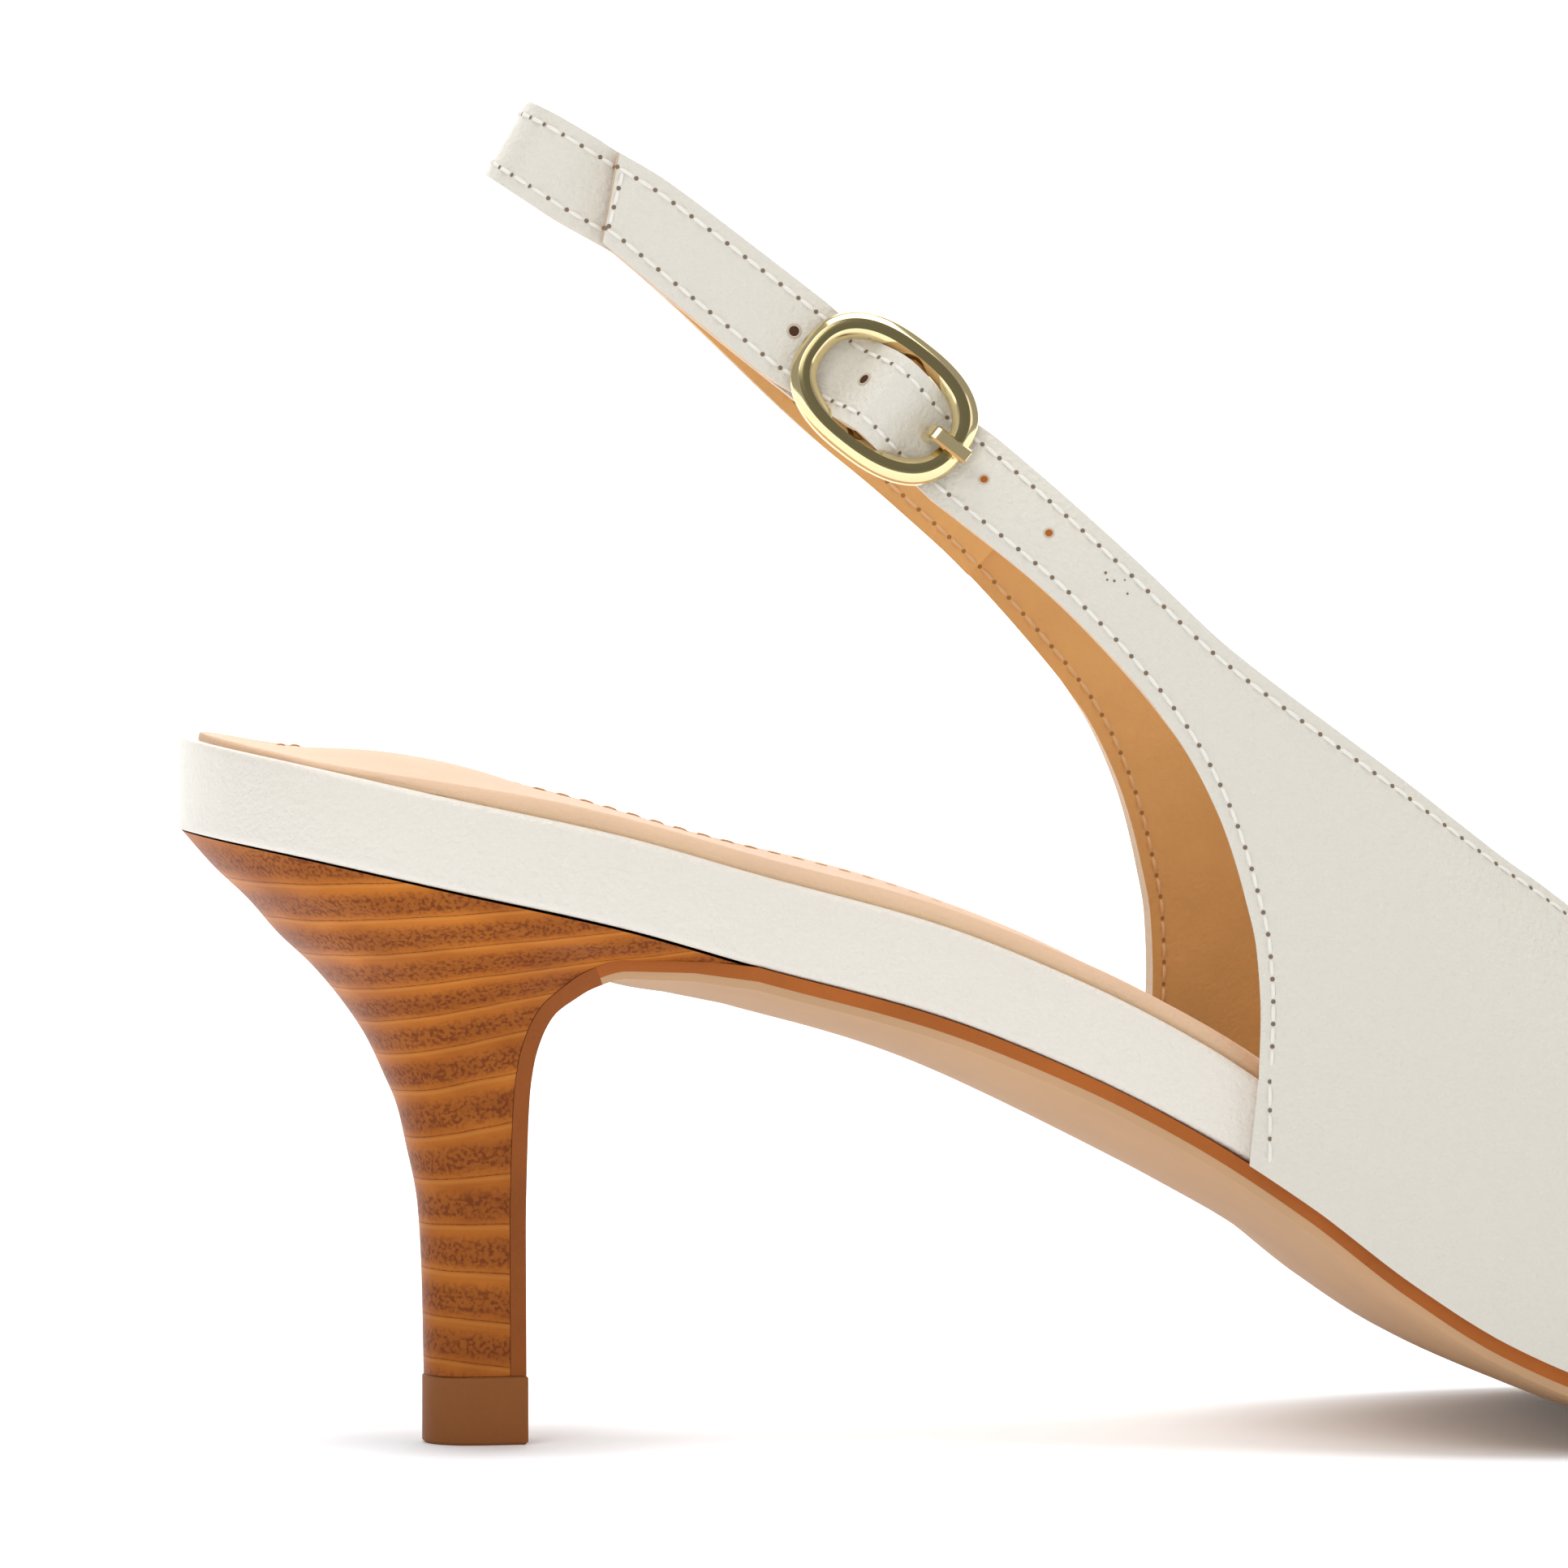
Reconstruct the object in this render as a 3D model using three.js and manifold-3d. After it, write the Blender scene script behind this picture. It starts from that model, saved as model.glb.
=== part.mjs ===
// Slingback pump with a kitten heel, right shoe. Millimetres, +Z up.
// +X runs to the toe, -Y is the outer (buckle) side, and the origin is on the floor under the heel tip.
import * as THREE from 'three';
import { mergeVertices } from 'three/addons/utils/BufferGeometryUtils.js';
import Module from 'manifold-3d';

// Driving dimensions
const shoeLength = 250; // heel back to the toe end of the midsole
const heelBack = 29.8; // how far the seat overhangs behind the heel tip's centre
const ballWidth = 75.4; // across the midsole at the ball
const seatWidth = 49; // across the midsole at the heel seat
const seatRise = 57.9; // rise of the seat's back over the ball
const toeSpring = 7.4; // lift of the toe
const strapTop = 130; // height of the topline at the sling
const clearance = 0.3; // gap between pieces that touch
const upperWall = 1.5; // leather and lining of the upper
const strapThickness = 1.5;
const strapWidth = 9.1;
const rimHeight = 9.1; // wrapped midsole, heel to waist
const boardHeight = 3.6; // the same piece inside the forefoot
const outsoleEdge = 2.2;
const flapThickness = 1.35; // outsole where it runs down the breast
const waistCrown = 4; // how far the waist's underside bulges
const treadCrown = 1.2;
const insoleThickness = 1.6;
const padHeight = 1.3; // heel cushion of the insole
const archLift = 1.2; // extra height on the inner side of the waist
const heelTipHeight = 6.6;
const ringLength = 19.2;
const ringWidth = 13.6;
const ringBand = 2.25;
const ringThickness = 1.7;
const barRadius = 0.7;
const barLevel = 0.4; // the bar's middle above the strap's face
const eyeWall = 0.8; // strap leather round the bar
const prongWidth = 1.3;
const prongThickness = 1.2;
const loopDepth = 8; // how far the sling's rounded back reaches
const loopHalf = 7.2; // half of the gap that the sling's back spans

const colour = {
  white: 0xe9e4d9, sock: 0xeac7a2, edge: 0xa8622f, heel: 0x9c5d33, tip: 0x7d4b26, gold: 0xd8c084,
};
const toeTip = shoeLength - heelBack;
const treadTop = treadCrown + outsoleEdge + clearance;

// Plan of the midsole. at: share of the length from the heel's back. half: half width as a share of the
// ball width. sway: middle line's move to the inner side as a share of the ball width.
const plan = [
  { at: 0, half: 0, sway: 0 },
  { at: 0.015, half: 0.174, sway: 0 },
  { at: 0.039, half: 0.26, sway: 0 },
  { at: 0.071, half: 0.31, sway: 0 },
  { at: 0.103, half: 0.325, sway: 0 },
  { at: 0.151, half: 0.324, sway: -0.002 },
  { at: 0.199, half: 0.314, sway: -0.007 },
  { at: 0.259, half: 0.298, sway: -0.017 },
  { at: 0.319, half: 0.297, sway: -0.029 },
  { at: 0.379, half: 0.326, sway: -0.037 },
  { at: 0.439, half: 0.385, sway: -0.034 },
  { at: 0.499, half: 0.453, sway: -0.022 },
  { at: 0.551, half: 0.492, sway: -0.007 },
  { at: 0.591, half: 0.5, sway: 0.007 },
  { at: 0.639, half: 0.48, sway: 0.021 },
  { at: 0.699, half: 0.427, sway: 0.037 },
  { at: 0.759, half: 0.357, sway: 0.049 },
  { at: 0.819, half: 0.281, sway: 0.056 },
  { at: 0.879, half: 0.205, sway: 0.057 },
  { at: 0.931, half: 0.143, sway: 0.056 },
  { at: 0.971, half: 0.093, sway: 0.052 },
  { at: 0.991, half: 0.052, sway: 0.05 },
  { at: 1, half: 0, sway: 0.049 },
];

// Side line of the midsole's underside. rise: share of seatRise. spring: share of toeSpring.
// rim: share of the way from boardHeight to rimHeight. crown: share of waistCrown that the outsole bulges.
const side = [
  { at: 0, rise: 1, spring: 0, rim: 1, crown: 0 },
  { at: 0.034, rise: 0.972, spring: 0, rim: 1, crown: 0 },
  { at: 0.098, rise: 0.91, spring: 0, rim: 1, crown: 0 },
  { at: 0.162, rise: 0.847, spring: 0, rim: 1, crown: 0.8 },
  { at: 0.22, rise: 0.774, spring: 0, rim: 1, crown: 1 },
  { at: 0.289, rise: 0.69, spring: 0, rim: 1, crown: 1 },
  { at: 0.347, rise: 0.588, spring: 0, rim: 1, crown: 1 },
  { at: 0.392, rise: 0.486, spring: 0, rim: 1, crown: 0.9 },
  { at: 0.434, rise: 0.366, spring: 0, rim: 0.9, crown: 0.6 },
  { at: 0.473, rise: 0.234, spring: 0, rim: 0.64, crown: 0.42 },
  { at: 0.507, rise: 0.137, spring: 0, rim: 0.36, crown: 0.32 },
  { at: 0.547, rise: 0.06, spring: 0, rim: 0.1, crown: 0.3 },
  { at: 0.587, rise: 0.012, spring: 0, rim: 0, crown: 0.3 },
  { at: 0.615, rise: 0, spring: 0, rim: 0, crown: 0.3 },
  { at: 0.71, rise: 0, spring: 0, rim: 0, crown: 0.3 },
  { at: 0.76, rise: 0, spring: 0.05, rim: 0, crown: 0.3 },
  { at: 0.82, rise: 0, spring: 0.19, rim: 0, crown: 0.26 },
  { at: 0.88, rise: 0, spring: 0.4, rim: 0, crown: 0.2 },
  { at: 0.94, rise: 0, spring: 0.68, rim: 0, crown: 0.12 },
  { at: 1, rise: 0, spring: 1, rim: 0, crown: 0 },
];

// Ribs of the upper from the strap's free end to the quarter's lower corner, seen from the side.
// topAt, lowAt: shares of the length. topRise, lowRise: shares of strapTop. topHalf, lowHalf: half of the
// gap between the two sides, as shares of the ball width.
const legRibs = [
  { topAt: 0.1728, topRise: 0.99, topHalf: 0.096, lowAt: 0.1656, lowRise: 0.9215, lowHalf: 0.1 },
  { topAt: 0.188, topRise: 0.973, topHalf: 0.098, lowAt: 0.17, lowRise: 0.9146, lowHalf: 0.102 },
  { topAt: 0.236, topRise: 0.903, topHalf: 0.122, lowAt: 0.2128, lowRise: 0.8454, lowHalf: 0.133 },
  { topAt: 0.2804, topRise: 0.8338, topHalf: 0.163, lowAt: 0.256, lowRise: 0.7785, lowHalf: 0.176 },
  { topAt: 0.3248, topRise: 0.7615, topHalf: 0.217, lowAt: 0.2984, lowRise: 0.7154, lowHalf: 0.231 },
  { topAt: 0.3652, topRise: 0.6885, topHalf: 0.271, lowAt: 0.3416, lowRise: 0.6423, lowHalf: 0.292 },
  { topAt: 0.4024, topRise: 0.6177, topHalf: 0.312, lowAt: 0.3752, lowRise: 0.5677, lowHalf: 0.344 },
  { topAt: 0.4232, topRise: 0.5854, topHalf: 0.328, lowAt: 0.3888, lowRise: 0.5262, lowHalf: 0.36 },
  { topAt: 0.4472, topRise: 0.5508, topHalf: 0.339, lowAt: 0.4, lowRise: 0.4769, lowHalf: 0.372 },
  { topAt: 0.4732, topRise: 0.5138, topHalf: 0.344, lowAt: 0.4072, lowRise: 0.4277, lowHalf: 0.38 },
  { topAt: 0.4972, topRise: 0.4785, topHalf: 0.343, lowAt: 0.4116, lowRise: 0.3846, lowHalf: 0.385 },
  { topAt: 0.5152, topRise: 0.4523, topHalf: 0.339, lowAt: 0.4128, lowRise: 0.3385, lowHalf: 0.388 },
  { topAt: 0.5292, topRise: 0.4338, topHalf: 0.335, lowAt: 0.412, lowRise: 0.2908, lowHalf: 0.388 },
];

// Ribs from that corner to the throat. They end below on the edge of the sole at lowAt.
const quarterRibs = [
  { topAt: 0.54, topRise: 0.4185, topHalf: 0.331, lowAt: 0.4104 },
  { topAt: 0.5592, topRise: 0.3908, topHalf: 0.321, lowAt: 0.437 },
  { topAt: 0.5812, topRise: 0.3646, topHalf: 0.304, lowAt: 0.47 },
  { topAt: 0.6052, topRise: 0.3408, topHalf: 0.279, lowAt: 0.508 },
  { topAt: 0.6292, topRise: 0.3215, topHalf: 0.245, lowAt: 0.55 },
  { topAt: 0.6512, topRise: 0.3085, topHalf: 0.204, lowAt: 0.592 },
  { topAt: 0.6692, topRise: 0.3008, topHalf: 0.156, lowAt: 0.632 },
  { topAt: 0.6824, topRise: 0.2969, topHalf: 0.1, lowAt: 0.668 },
  { topAt: 0.6912, topRise: 0.2954, topHalf: 0, lowAt: 0.7 },
];

// Ribs of the closed vamp: the ridge's height as a share of strapTop.
const vampRibs = [
  { topAt: 0.715, topRise: 0.281, lowAt: 0.728 },
  { topAt: 0.75, topRise: 0.262, lowAt: 0.762 },
  { topAt: 0.79, topRise: 0.243, lowAt: 0.8 },
  { topAt: 0.83, topRise: 0.225, lowAt: 0.84 },
  { topAt: 0.87, topRise: 0.207, lowAt: 0.88 },
  { topAt: 0.905, topRise: 0.191, lowAt: 0.916 },
  { topAt: 0.938, topRise: 0.174, lowAt: 0.95 },
  { topAt: 0.963, topRise: 0.158, lowAt: 0.976 },
  { topAt: 0.979, topRise: 0.145, lowAt: 0.992 },
  { topAt: 0.986, topRise: 0.137, lowAt: 0.998 },
  { topAt: 0.989, topRise: 0.133, lowAt: 1 },
];

// Heel, from the seat to the tip. back, front and half: shares of the seat's width, measured from the
// tip's centre. backRise, frontRise: shares of the way from the top of the tip to the seat's back.
const heelLevels = [
  { back: 0.598, front: 0.47, backRise: 1, frontRise: 0.779, half: 0.49 },
  { back: 0.532, front: 0.337, backRise: 0.933, frontRise: 0.783, half: 0.462 },
  { back: 0.463, front: 0.241, backRise: 0.874, frontRise: 0.782, half: 0.421 },
  { back: 0.4, front: 0.167, backRise: 0.809, frontRise: 0.757, half: 0.368 },
  { back: 0.331, front: 0.127, backRise: 0.75, frontRise: 0.725, half: 0.315 },
  { back: 0.269, front: 0.092, backRise: 0.683, frontRise: 0.687, half: 0.262 },
  { back: 0.222, front: 0.071, backRise: 0.619, frontRise: 0.639, half: 0.219 },
  { back: 0.188, front: 0.058, backRise: 0.554, frontRise: 0.58, half: 0.184 },
  { back: 0.159, front: 0.053, backRise: 0.491, frontRise: 0.513, half: 0.157 },
  { back: 0.141, front: 0.052, backRise: 0.42, frontRise: 0.428, half: 0.137 },
  { back: 0.118, front: 0.052, backRise: 0.312, frontRise: 0.312, half: 0.117 },
  { back: 0.11, front: 0.054, backRise: 0.185, frontRise: 0.185, half: 0.104 },
  { back: 0.106, front: 0.056, backRise: 0, frontRise: 0, half: 0.096 },
];

// Curves through the tables

const blend = (a, b, share) => a + (b - a) * share;
const clamp01 = (value) => Math.min(1, Math.max(0, value));
const smooth = (value) => clamp01(value) ** 2 * (3 - 2 * clamp01(value));

// A smooth curve through (xs, ys) that never overshoots; returns value and slope.
function smoothCurve(xs, ys) {
  const last = xs.length - 1;
  const chord = xs.slice(1).map((x, i) => (ys[i + 1] - ys[i]) / (x - xs[i]));
  const slope = xs.map((x, i) => {
    if (i === 0) return chord[0];
    if (i === last) return chord[last - 1];
    if (chord[i - 1] * chord[i] <= 0) return 0;
    return (2 * chord[i - 1] * chord[i]) / (chord[i - 1] + chord[i]);
  });
  return (x) => {
    let i = 0;
    while (i < last - 1 && x > xs[i + 1]) i += 1;
    const run = xs[i + 1] - xs[i];
    const t = clamp01((x - xs[i]) / run);
    const drop = ys[i + 1] - ys[i];
    const value = ys[i] + run * slope[i] * (t - 2 * t ** 2 + t ** 3)
      + run * slope[i + 1] * (t ** 3 - t ** 2) + drop * (3 * t ** 2 - 2 * t ** 3);
    const rate = slope[i] * (1 - 4 * t + 3 * t ** 2) + slope[i + 1] * (3 * t ** 2 - 2 * t)
      + (drop / run) * (6 * t - 6 * t ** 2);
    return { value, rate };
  };
}

const column = (rows, key, scale = 1) => rows.map((row) => row[key] * scale);
const planX = column(plan, 'at').map((at) => at * shoeLength - heelBack);
const halfSquared = smoothCurve(planX, column(plan, 'half', ballWidth).map((half) => half ** 2));
const sway = smoothCurve(planX, column(plan, 'sway', ballWidth));
const sideX = column(side, 'at').map((at) => at * shoeLength - heelBack);
const riseCurve = smoothCurve(sideX, column(side, 'rise', seatRise));
const springCurve = smoothCurve(sideX, column(side, 'spring', toeSpring));
const rimCurve = smoothCurve(sideX, column(side, 'rim'));
const crownCurve = smoothCurve(sideX, column(side, 'crown', waistCrown));

const lengthAt = (share) => share * shoeLength - heelBack;
const underside = (x) => treadTop + riseCurve(x).value + springCurve(x).value;
const midsoleHeight = (x) => blend(boardHeight, rimHeight, rimCurve(x).value);

// A point on the plan's edge, moved outwards by offset. hand is -1 on the outer side, +1 on the inner.
function edgePoint(hand, x, offset = 0) {
  const square = halfSquared(x);
  const half = Math.sqrt(Math.max(square.value, 0));
  const middle = sway(x);
  const end = Math.sign(x);
  if (half < 0.01) return { x: x + end * offset, y: middle.value, half };
  const slope = square.rate / (2 * half);
  const turn = hand * middle.rate + slope;
  const norm = Math.hypot(turn, 1);
  return { x: x - (turn / norm) * offset, y: middle.value + hand * (half + offset / norm), half };
}

// Solids

// A closed mesh from points and faces (three or more corners each), turned so that it points outwards.
function solid(points, faces) {
  const corners = [];
  for (const face of faces) {
    for (let i = 1; i < face.length - 1; i += 1) corners.push(face[0], face[i], face[i + 1]);
  }
  const raw = new THREE.BufferGeometry();
  raw.setAttribute('position', new THREE.Float32BufferAttribute(points.flat(), 3));
  raw.setIndex(corners);
  const merged = mergeVertices(raw, 1e-3);
  const index = Array.from(merged.index.array);
  const kept = [];
  for (let i = 0; i < index.length; i += 3) {
    const [a, b, c] = index.slice(i, i + 3);
    if (a !== b && b !== c && c !== a) kept.push(a, b, c);
  }
  const position = merged.attributes.position;
  const at = (i) => new THREE.Vector3().fromBufferAttribute(position, i);
  let volume = 0;
  for (let i = 0; i < kept.length; i += 3) volume += at(kept[i]).dot(at(kept[i + 1]).cross(at(kept[i + 2])));
  if (volume < 0) kept.reverse();
  merged.setIndex(kept);
  return merged;
}

// Skins a row of rings. Each ring runs from one side round to the other, so its cap is a strip.
function skin(rings, closedEnds = [true, true]) {
  const count = rings[0].length;
  const faces = [];
  for (let r = 0; r < rings.length - 1; r += 1) {
    for (let i = 0; i < count; i += 1) {
      const j = (i + 1) % count;
      faces.push([r * count + i, r * count + j, (r + 1) * count + j, (r + 1) * count + i]);
    }
  }
  const cap = (start, forwards) => {
    for (let i = 0; i + 1 <= count - 2 - i; i += 1) {
      const strip = [start + i, start + i + 1, start + count - 2 - i, start + count - 1 - i];
      faces.push(forwards ? strip : strip.reverse());
    }
  };
  if (closedEnds[0]) cap(0, false);
  if (closedEnds[1]) cap((rings.length - 1) * count, true);
  return solid(rings.flat(), faces);
}

// Gives an open surface a wall. outer(i) and inner(i) place its two faces along point i's normal, and
// level(i) keeps that normal horizontal.
function wall(points, faces, outer, inner, level = () => false) {
  const raw = new THREE.BufferGeometry();
  raw.setAttribute('position', new THREE.Float32BufferAttribute(points.flat(), 3));
  const notes = points.flatMap((unused, i) => [outer(i), inner(i), level(i) ? 1 : 0]);
  raw.setAttribute('notes', new THREE.Float32BufferAttribute(notes, 3));
  raw.setIndex(faces.flatMap((f) => (f.length === 4 ? [f[0], f[1], f[2], f[0], f[2], f[3]] : f)));
  const merged = mergeVertices(raw, 1e-3);
  const index = Array.from(merged.index.array);
  const triangles = [];
  for (let i = 0; i < index.length; i += 3) {
    const triangle = index.slice(i, i + 3);
    if (new Set(triangle).size === 3) triangles.push(triangle);
  }
  merged.setIndex(triangles.flat());
  merged.computeVertexNormals();
  const { position, normal, notes: kept } = merged.attributes;
  const count = position.count;
  const sheet = (face) => Array.from({ length: count }, (unused, i) => {
    const direction = new THREE.Vector3().fromBufferAttribute(normal, i);
    if (kept.getZ(i) === 1) direction.setZ(0).normalize();
    const distance = kept.getComponent(i, face);
    return new THREE.Vector3().fromBufferAttribute(position, i).addScaledVector(direction, distance).toArray();
  });
  const used = new Map();
  for (const triangle of triangles) {
    triangle.forEach((a, i) => {
      const b = triangle[(i + 1) % 3];
      used.set(`${a},${b}`, [a, b]);
    });
  }
  const rims = [...used.values()].filter(([a, b]) => !used.has(`${b},${a}`));
  return solid([...sheet(0), ...sheet(1)], [
    ...triangles,
    ...triangles.map(([a, b, c]) => [c + count, b + count, a + count]),
    ...rims.map(([a, b]) => [b, a, a + count, b + count]),
  ]);
}

const wasm = await Module();
wasm.setup();

function toManifold(geometry) {
  const bare = geometry.clone();
  bare.deleteAttribute('normal');
  bare.deleteAttribute('uv');
  const merged = mergeVertices(bare, 1e-4);
  return new wasm.Manifold(new wasm.Mesh({
    numProp: 3,
    vertProperties: new Float32Array(merged.attributes.position.array),
    triVerts: new Uint32Array(merged.index.array),
  }));
}

function fromManifold(manifold) {
  const { vertProperties, triVerts } = manifold.getMesh();
  const geometry = new THREE.BufferGeometry();
  geometry.setAttribute('position', new THREE.BufferAttribute(new Float32Array(vertProperties), 3));
  geometry.setIndex(new THREE.BufferAttribute(new Uint32Array(triVerts), 1));
  return geometry;
}

// Stations between two places that crowd towards ends that close to a point.
function stations(from, to, count, roundFrom, roundTo) {
  return Array.from({ length: count + 1 }, (unused, i) => {
    const t = i / count;
    if (roundFrom && roundTo) return blend(from, to, (1 - Math.cos(Math.PI * t)) / 2);
    if (roundFrom) return blend(from, to, 1 - Math.cos((Math.PI / 2) * t));
    if (roundTo) return blend(from, to, Math.sin((Math.PI / 2) * t));
    return blend(from, to, t);
  });
}

const soleStations = [
  ...stations(-heelBack, 0, 9, true, false),
  ...stations(0, 165, 22, false, false).slice(1),
  ...stations(165, toeTip, 12, false, true).slice(1),
];

// A slab that lies along the plan: bottom(x, across) and top(x, across), across from -1 to +1.
function slab(xs, offset, shares, bottom, top, bevel = 0) {
  return skin(xs.map((x) => {
    const outside = edgePoint(-1, x, offset(x));
    const inside = edgePoint(1, x, offset(x));
    const inset = Math.min(bevel, 0.4 * outside.half) / Math.max(outside.half, 1);
    const place = (across, z) => {
      const share = (across + 1) / 2;
      return [blend(outside.x, inside.x, share), blend(outside.y, inside.y, share), z];
    };
    const low = shares.map((s) => place(s * (1 - inset), bottom(x, s)));
    const high = shares.map((s) => place(s * (1 - inset), top(x, s))).reverse();
    if (bevel === 0) return [...low, ...high];
    const lift = Math.min(bevel, 0.3 * (top(x, 0) - bottom(x, 0)));
    return [...low, place(1, bottom(x, 1) + lift), place(1, top(x, 1) - lift), ...high,
      place(-1, top(x, -1) - lift), place(-1, bottom(x, -1) + lift)];
  }), [false, false]);
}

// Wrapped midsole: the white rim, thinning to a board inside the upper

const rimBevel = 0.9;
const toeInset = 2; // the board stops short of the toe's end
const quarterCorner = lengthAt(quarterRibs[0].lowAt);
const insideUpper = (x) => smooth((x - quarterCorner + 4) / 8);
const midsoleGeometry = slab(
  soleStations,
  (x) => -clearance * insideUpper(x) - toeInset * smooth((x - lengthAt(0.945)) / 12),
  [-1, 0, 1],
  (x) => underside(x),
  (x) => underside(x) + midsoleHeight(x),
  rimBevel,
);

// Insole: sock with a heel cushion

const insoleInset = 1.4;
const insoleForeInset = 2.6;
const padCentre = lengthAt(0.092);
const padLength = 15;
function insoleTop(x, across) {
  const pad = padHeight * smooth(1.15 - Math.hypot((x - padCentre) / padLength, across / 0.95));
  const arch = archLift * smooth(across) * smooth(1 - Math.abs(x - lengthAt(0.4)) / 50);
  return underside(x) + midsoleHeight(x) + clearance + insoleThickness + pad + arch;
}
const insoleGeometry = slab(
  soleStations,
  (x) => -blend(insoleInset, insoleForeInset, insideUpper(x)) - 4 * smooth((x - lengthAt(0.93)) / 18),
  [-1, -0.85, -0.6, -0.3, 0, 0.3, 0.6, 0.85, 1],
  (x) => underside(x) + midsoleHeight(x) + clearance,
  insoleTop,
);

// Heel

const seatBackZ = underside(-heelBack) - clearance;
const heelTop = heelTipHeight + clearance;
const seatFrontX = heelLevels[0].front * seatWidth;
const heelShares = [0, 0.015, 0.06, 0.13, 0.22, 0.34, 0.5, 0.7, 0.85, 1];
const heelProfile = heelLevels.map((level) => ({
  back: -level.back * seatWidth,
  front: level.front * seatWidth,
  backZ: blend(heelTop, seatBackZ, level.backRise),
  frontZ: blend(heelTop, seatBackZ, level.frontRise),
  half: level.half * seatWidth,
}));
const seatHalf = seatWidth / 2;

function heelPoint(level, share, hand, fade) {
  const seatX = blend(-heelBack, seatFrontX, share);
  const ratio = edgePoint(hand, seatX).half / seatHalf;
  const seatZ = underside(seatX) - clearance;
  const chordZ = blend(heelProfile[0].backZ, heelProfile[0].frontZ, share);
  return [
    blend(level.back, level.front, share),
    hand * ratio * level.half,
    blend(level.backZ, level.frontZ, share) + (seatZ - chordZ) * fade,
  ];
}
const heelRing = (level, fade) => [
  ...[...heelShares].reverse().map((share) => heelPoint(level, share, -1, fade)),
  ...heelShares.slice(1).map((share) => heelPoint(level, share, 1, fade)),
];
const heelGeometry = skin(heelProfile.map((level, i) => heelRing(level, Math.max(0, 1 - i / 3))));

// Heel tip: a plug of the heel's last section that also covers the end of the flap

const tipLevel = heelProfile[heelProfile.length - 1];
const tipFlare = 0.15;
const tipRing = (z, grow) => {
  const ring = {
    back: tipLevel.back - grow,
    front: tipLevel.front + clearance + flapThickness + grow,
    backZ: z,
    frontZ: z,
    half: tipLevel.half + grow,
  };
  return heelRing(ring, 0);
};
const heelTipGeometry = skin([tipRing(0, tipFlare - 0.3), tipRing(0.3, tipFlare), tipRing(heelTipHeight, tipFlare)]);

// Outsole: tread, waist and the flap down the breast, in one sheet

const crownAcross = [-1, -0.8, -0.5, 0, 0.5, 0.8, 1];
const roundCrown = (s) => s ** 2;
const flatCrown = (s) => Math.max(0, (Math.abs(s) - 0.5) / 0.5) ** 1.6;
const outsoleOffset = (x) => 1.2 * smooth((x - 60) / 30) - 0.3;
const flapStart = seatFrontX + 3.4;
const flatFrom = lengthAt(0.44);
const flatTo = lengthAt(0.56);

function outsoleRing(x) {
  const outside = edgePoint(-1, x, outsoleOffset(x));
  const inside = edgePoint(1, x, outsoleOffset(x));
  const top = underside(x) - clearance;
  const slope = riseCurve(x).rate + springCurve(x).rate;
  const crown = crownCurve(x).value;
  const flat = smooth((x - flatFrom) / (flatTo - flatFrom));
  const drop = outsoleEdge * Math.sqrt(1 + slope ** 2);
  const place = (s, z) => {
    const share = (s + 1) / 2;
    return [blend(outside.x, inside.x, share), blend(outside.y, inside.y, share), z];
  };
  const taper = Math.min(1, outside.half / 6);
  const under = crownAcross.map((s) => {
    const rise = blend(roundCrown(s), flatCrown(s), flat);
    return place(s, top - drop - crown * taper * (1 - rise));
  });
  return [place(-1, top), ...under, place(1, top)];
}

const flapPath = heelProfile.map((level, i) => ({
  x: level.front, z: level.frontZ, half: level.half * 0.96, share: i / (heelProfile.length - 1),
}));
const flapTurn = 5; // levels over which the breast bends
function flapRing(i) {
  const point = flapPath[i];
  const before = flapPath[Math.max(i - 1, 0)];
  const after = flapPath[Math.min(i + 1, flapPath.length - 1)];
  const run = Math.hypot(after.x - before.x, after.z - before.z);
  const normal = i === flapPath.length - 1 ? [1, 0]
    : [-(after.z - before.z) / run, (after.x - before.x) / run];
  const bend = clamp01(i / flapTurn);
  const thickness = blend(outsoleEdge * 0.9, flapThickness, bend);
  const crown = waistCrown * (1 - smooth((i + 0.5) / flapTurn));
  const place = (s, distance) => [
    point.x + normal[0] * distance,
    s * point.half,
    point.z + normal[1] * distance,
  ];
  return [
    place(-1, clearance),
    ...crownAcross.map((s) => place(s, clearance + thickness + crown * (1 - roundCrown(s)))),
    place(1, clearance),
  ];
}
const soleRings = soleStations.filter((x) => x > flapStart).reverse().map(outsoleRing);
const outsoleGeometry = skin([...soleRings, ...flapPath.slice(1).map((point, i) => flapRing(i + 1))]);

// Upper: ribs from the sole's edge or the strap's lower edge up to the topline or the ridge

const roundness = 0.9;
const upperGap = upperWall + clearance;
const ribRows = 7;

// Fills a rib table out with rows between its own, along smooth curves.
function fillRibs(rows, steps) {
  const keys = Object.keys(rows[0]);
  const order = rows.map((row, i) => i);
  const curves = keys.map((key) => smoothCurve(order, column(rows, key)));
  const count = (rows.length - 1) * steps;
  return Array.from({ length: count + 1 }, (unused, n) => (
    Object.fromEntries(keys.map((key, k) => [key, curves[k](n / steps).value]))));
}

const middleAt = (x) => sway(x).value * smooth((x - 35) / 38);

// The topline as a curve over x, and the section under it: half width at height z
const topRows = [...legRibs.slice(3), ...quarterRibs];
const topX = column(topRows, 'topAt').map(lengthAt);
const topZ = smoothCurve(topX, column(topRows, 'topRise', strapTop));
const topHalfSquared = smoothCurve(topX, column(topRows, 'topHalf', ballWidth).map((half) => half ** 2));

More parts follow.
